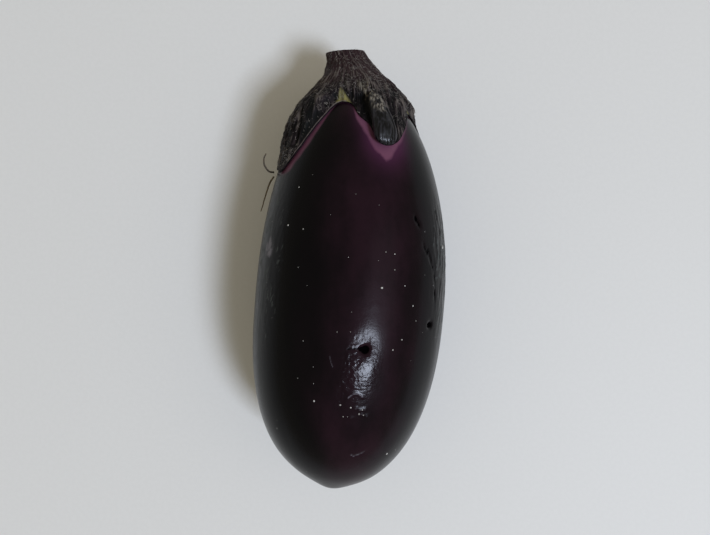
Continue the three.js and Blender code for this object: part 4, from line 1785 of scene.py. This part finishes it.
# %% Floor
FLOOR_SIDE = 16.0
FLOOR_SHADE = tone(0.630, 0.618, 0.590)
FLOOR_PALE = tone(0.640, 0.628, 0.600)

far = FLOOR_SIDE / 2
floor_corners = [(-far, -far, 0), (far, -far, 0), (far, far, 0), (-far, far, 0)]
floor_shape = bpy.data.meshes.new("floor")
floor_shape.from_pydata(floor_corners, [], [(0, 1, 2, 3)])
floor_finish = flecked("pale_floor", (FLOOR_SHADE, FLOOR_PALE), (1.5, 2.0), (0.625, 0.05), (0.02, 0.1))
floor = place_piece("floor", floor_shape, floor_finish)

# %% [markdown]
# ## Light
#
# One soft window-like light stands high on the right, on the blossom end's side. It makes the bright
# highlight round the pit and throws the soft shadow to the left. A broad dim one on the right gives the
# long sheen along the fruit. The room itself gives a weak warm light from all sides.

# %% Lights
LIGHT_AIM = Vector((0.0068, -0.0236, 0.062))
LIGHT_DISTANCE = 3.0
# Name, direction, side in metres, watts and colour of each light.
LIGHTS = [
    ("window", (0.43, -0.32, 0.83), 0.7, 70, (0.865, 0.965, 1.16)),
    ("sheen", (0.62, 0.05, 0.78), 1.7, 4, (0.97, 0.95, 1.0)),
]
ROOM_COLOUR = tone(1.0, 0.93, 0.76)
ROOM_STRENGTH = 0.39

for name, direction, side, watts, colour in LIGHTS:
    lamp = bpy.data.lights.new(name, "AREA")
    lamp.shape = "SQUARE"
    lamp.size = side
    lamp.energy = watts
    lamp.color = colour
    light = bpy.data.objects.new(name, lamp)
    towards = Vector(direction).normalized()
    light.location = LIGHT_AIM + towards * LIGHT_DISTANCE
    light.rotation_euler = towards.to_track_quat("Z", "Y").to_euler()
    light.visible_camera = False
    bpy.context.scene.collection.objects.link(light)
    print(f"{name}: {side} m wide, {watts} W")

world = bpy.data.worlds.new("room")
world.use_nodes = True
room = world.node_tree.nodes["Background"]
room.inputs["Color"].default_value = ROOM_COLOUR
room.inputs["Strength"].default_value = ROOM_STRENGTH
bpy.context.scene.world = world
bpy.context.scene.view_settings.view_transform = "Standard"

# %% [markdown]
# ## Camera
#
# The camera looks straight down, as someone does who leans over the table. A camera that isn't turned
# at all already looks down. It is quite close, so the end of the stem looks a little smaller.

# %% Camera
CAMERA_PLACE = Vector((0.0015, 0.007, 0.24746))
LENS = 32
SENSOR = 36
NEAREST = 0.01

camera_lens = bpy.data.cameras.new("camera")
camera_lens.lens = LENS
camera_lens.sensor_width = SENSOR
camera_lens.clip_start = NEAREST
camera = bpy.data.objects.new("camera", camera_lens)
camera.location = CAMERA_PLACE
bpy.context.scene.collection.objects.link(camera)
bpy.context.scene.camera = camera
print(f"camera {CAMERA_PLACE.z / MM:.0f} mm above the floor, with a {LENS} mm lens")

# %% [markdown]
# ## Which piece stands for which solid
#
# Each piece is tied to the body it belongs to. The eggplant has no joints, so there is only one body.
# Each row also gives a finish from the part's list and the solid that the piece replaces, and that
# solid is hidden. The fuzz and the specks replace nothing: they are detail on top.

# %% Tie the pieces to the solid model
for piece, solid, finish in [
    (fruit, "fruit", "fruit_skin"),
    (calyx, "calyx", "calyx_leaf"),
    (stem, "stem", "stem_bark"),
    (rolled, "curled_sepal", "rolled_leaf"),
    (curled_fibre, "dry_fibre_curled", "dry_fibre"),
    (straight_fibre, "dry_fibre_straight", "dry_fibre"),
    (calyx_fuzz, None, "calyx_leaf"),
    (stem_fuzz, None, "stem_bark"),
    (specks, None, "fruit_skin"),
]:
    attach(piece, "root")
    if solid is not None:
        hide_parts(solid)
print("every piece rides on the body root")

# %% [markdown]
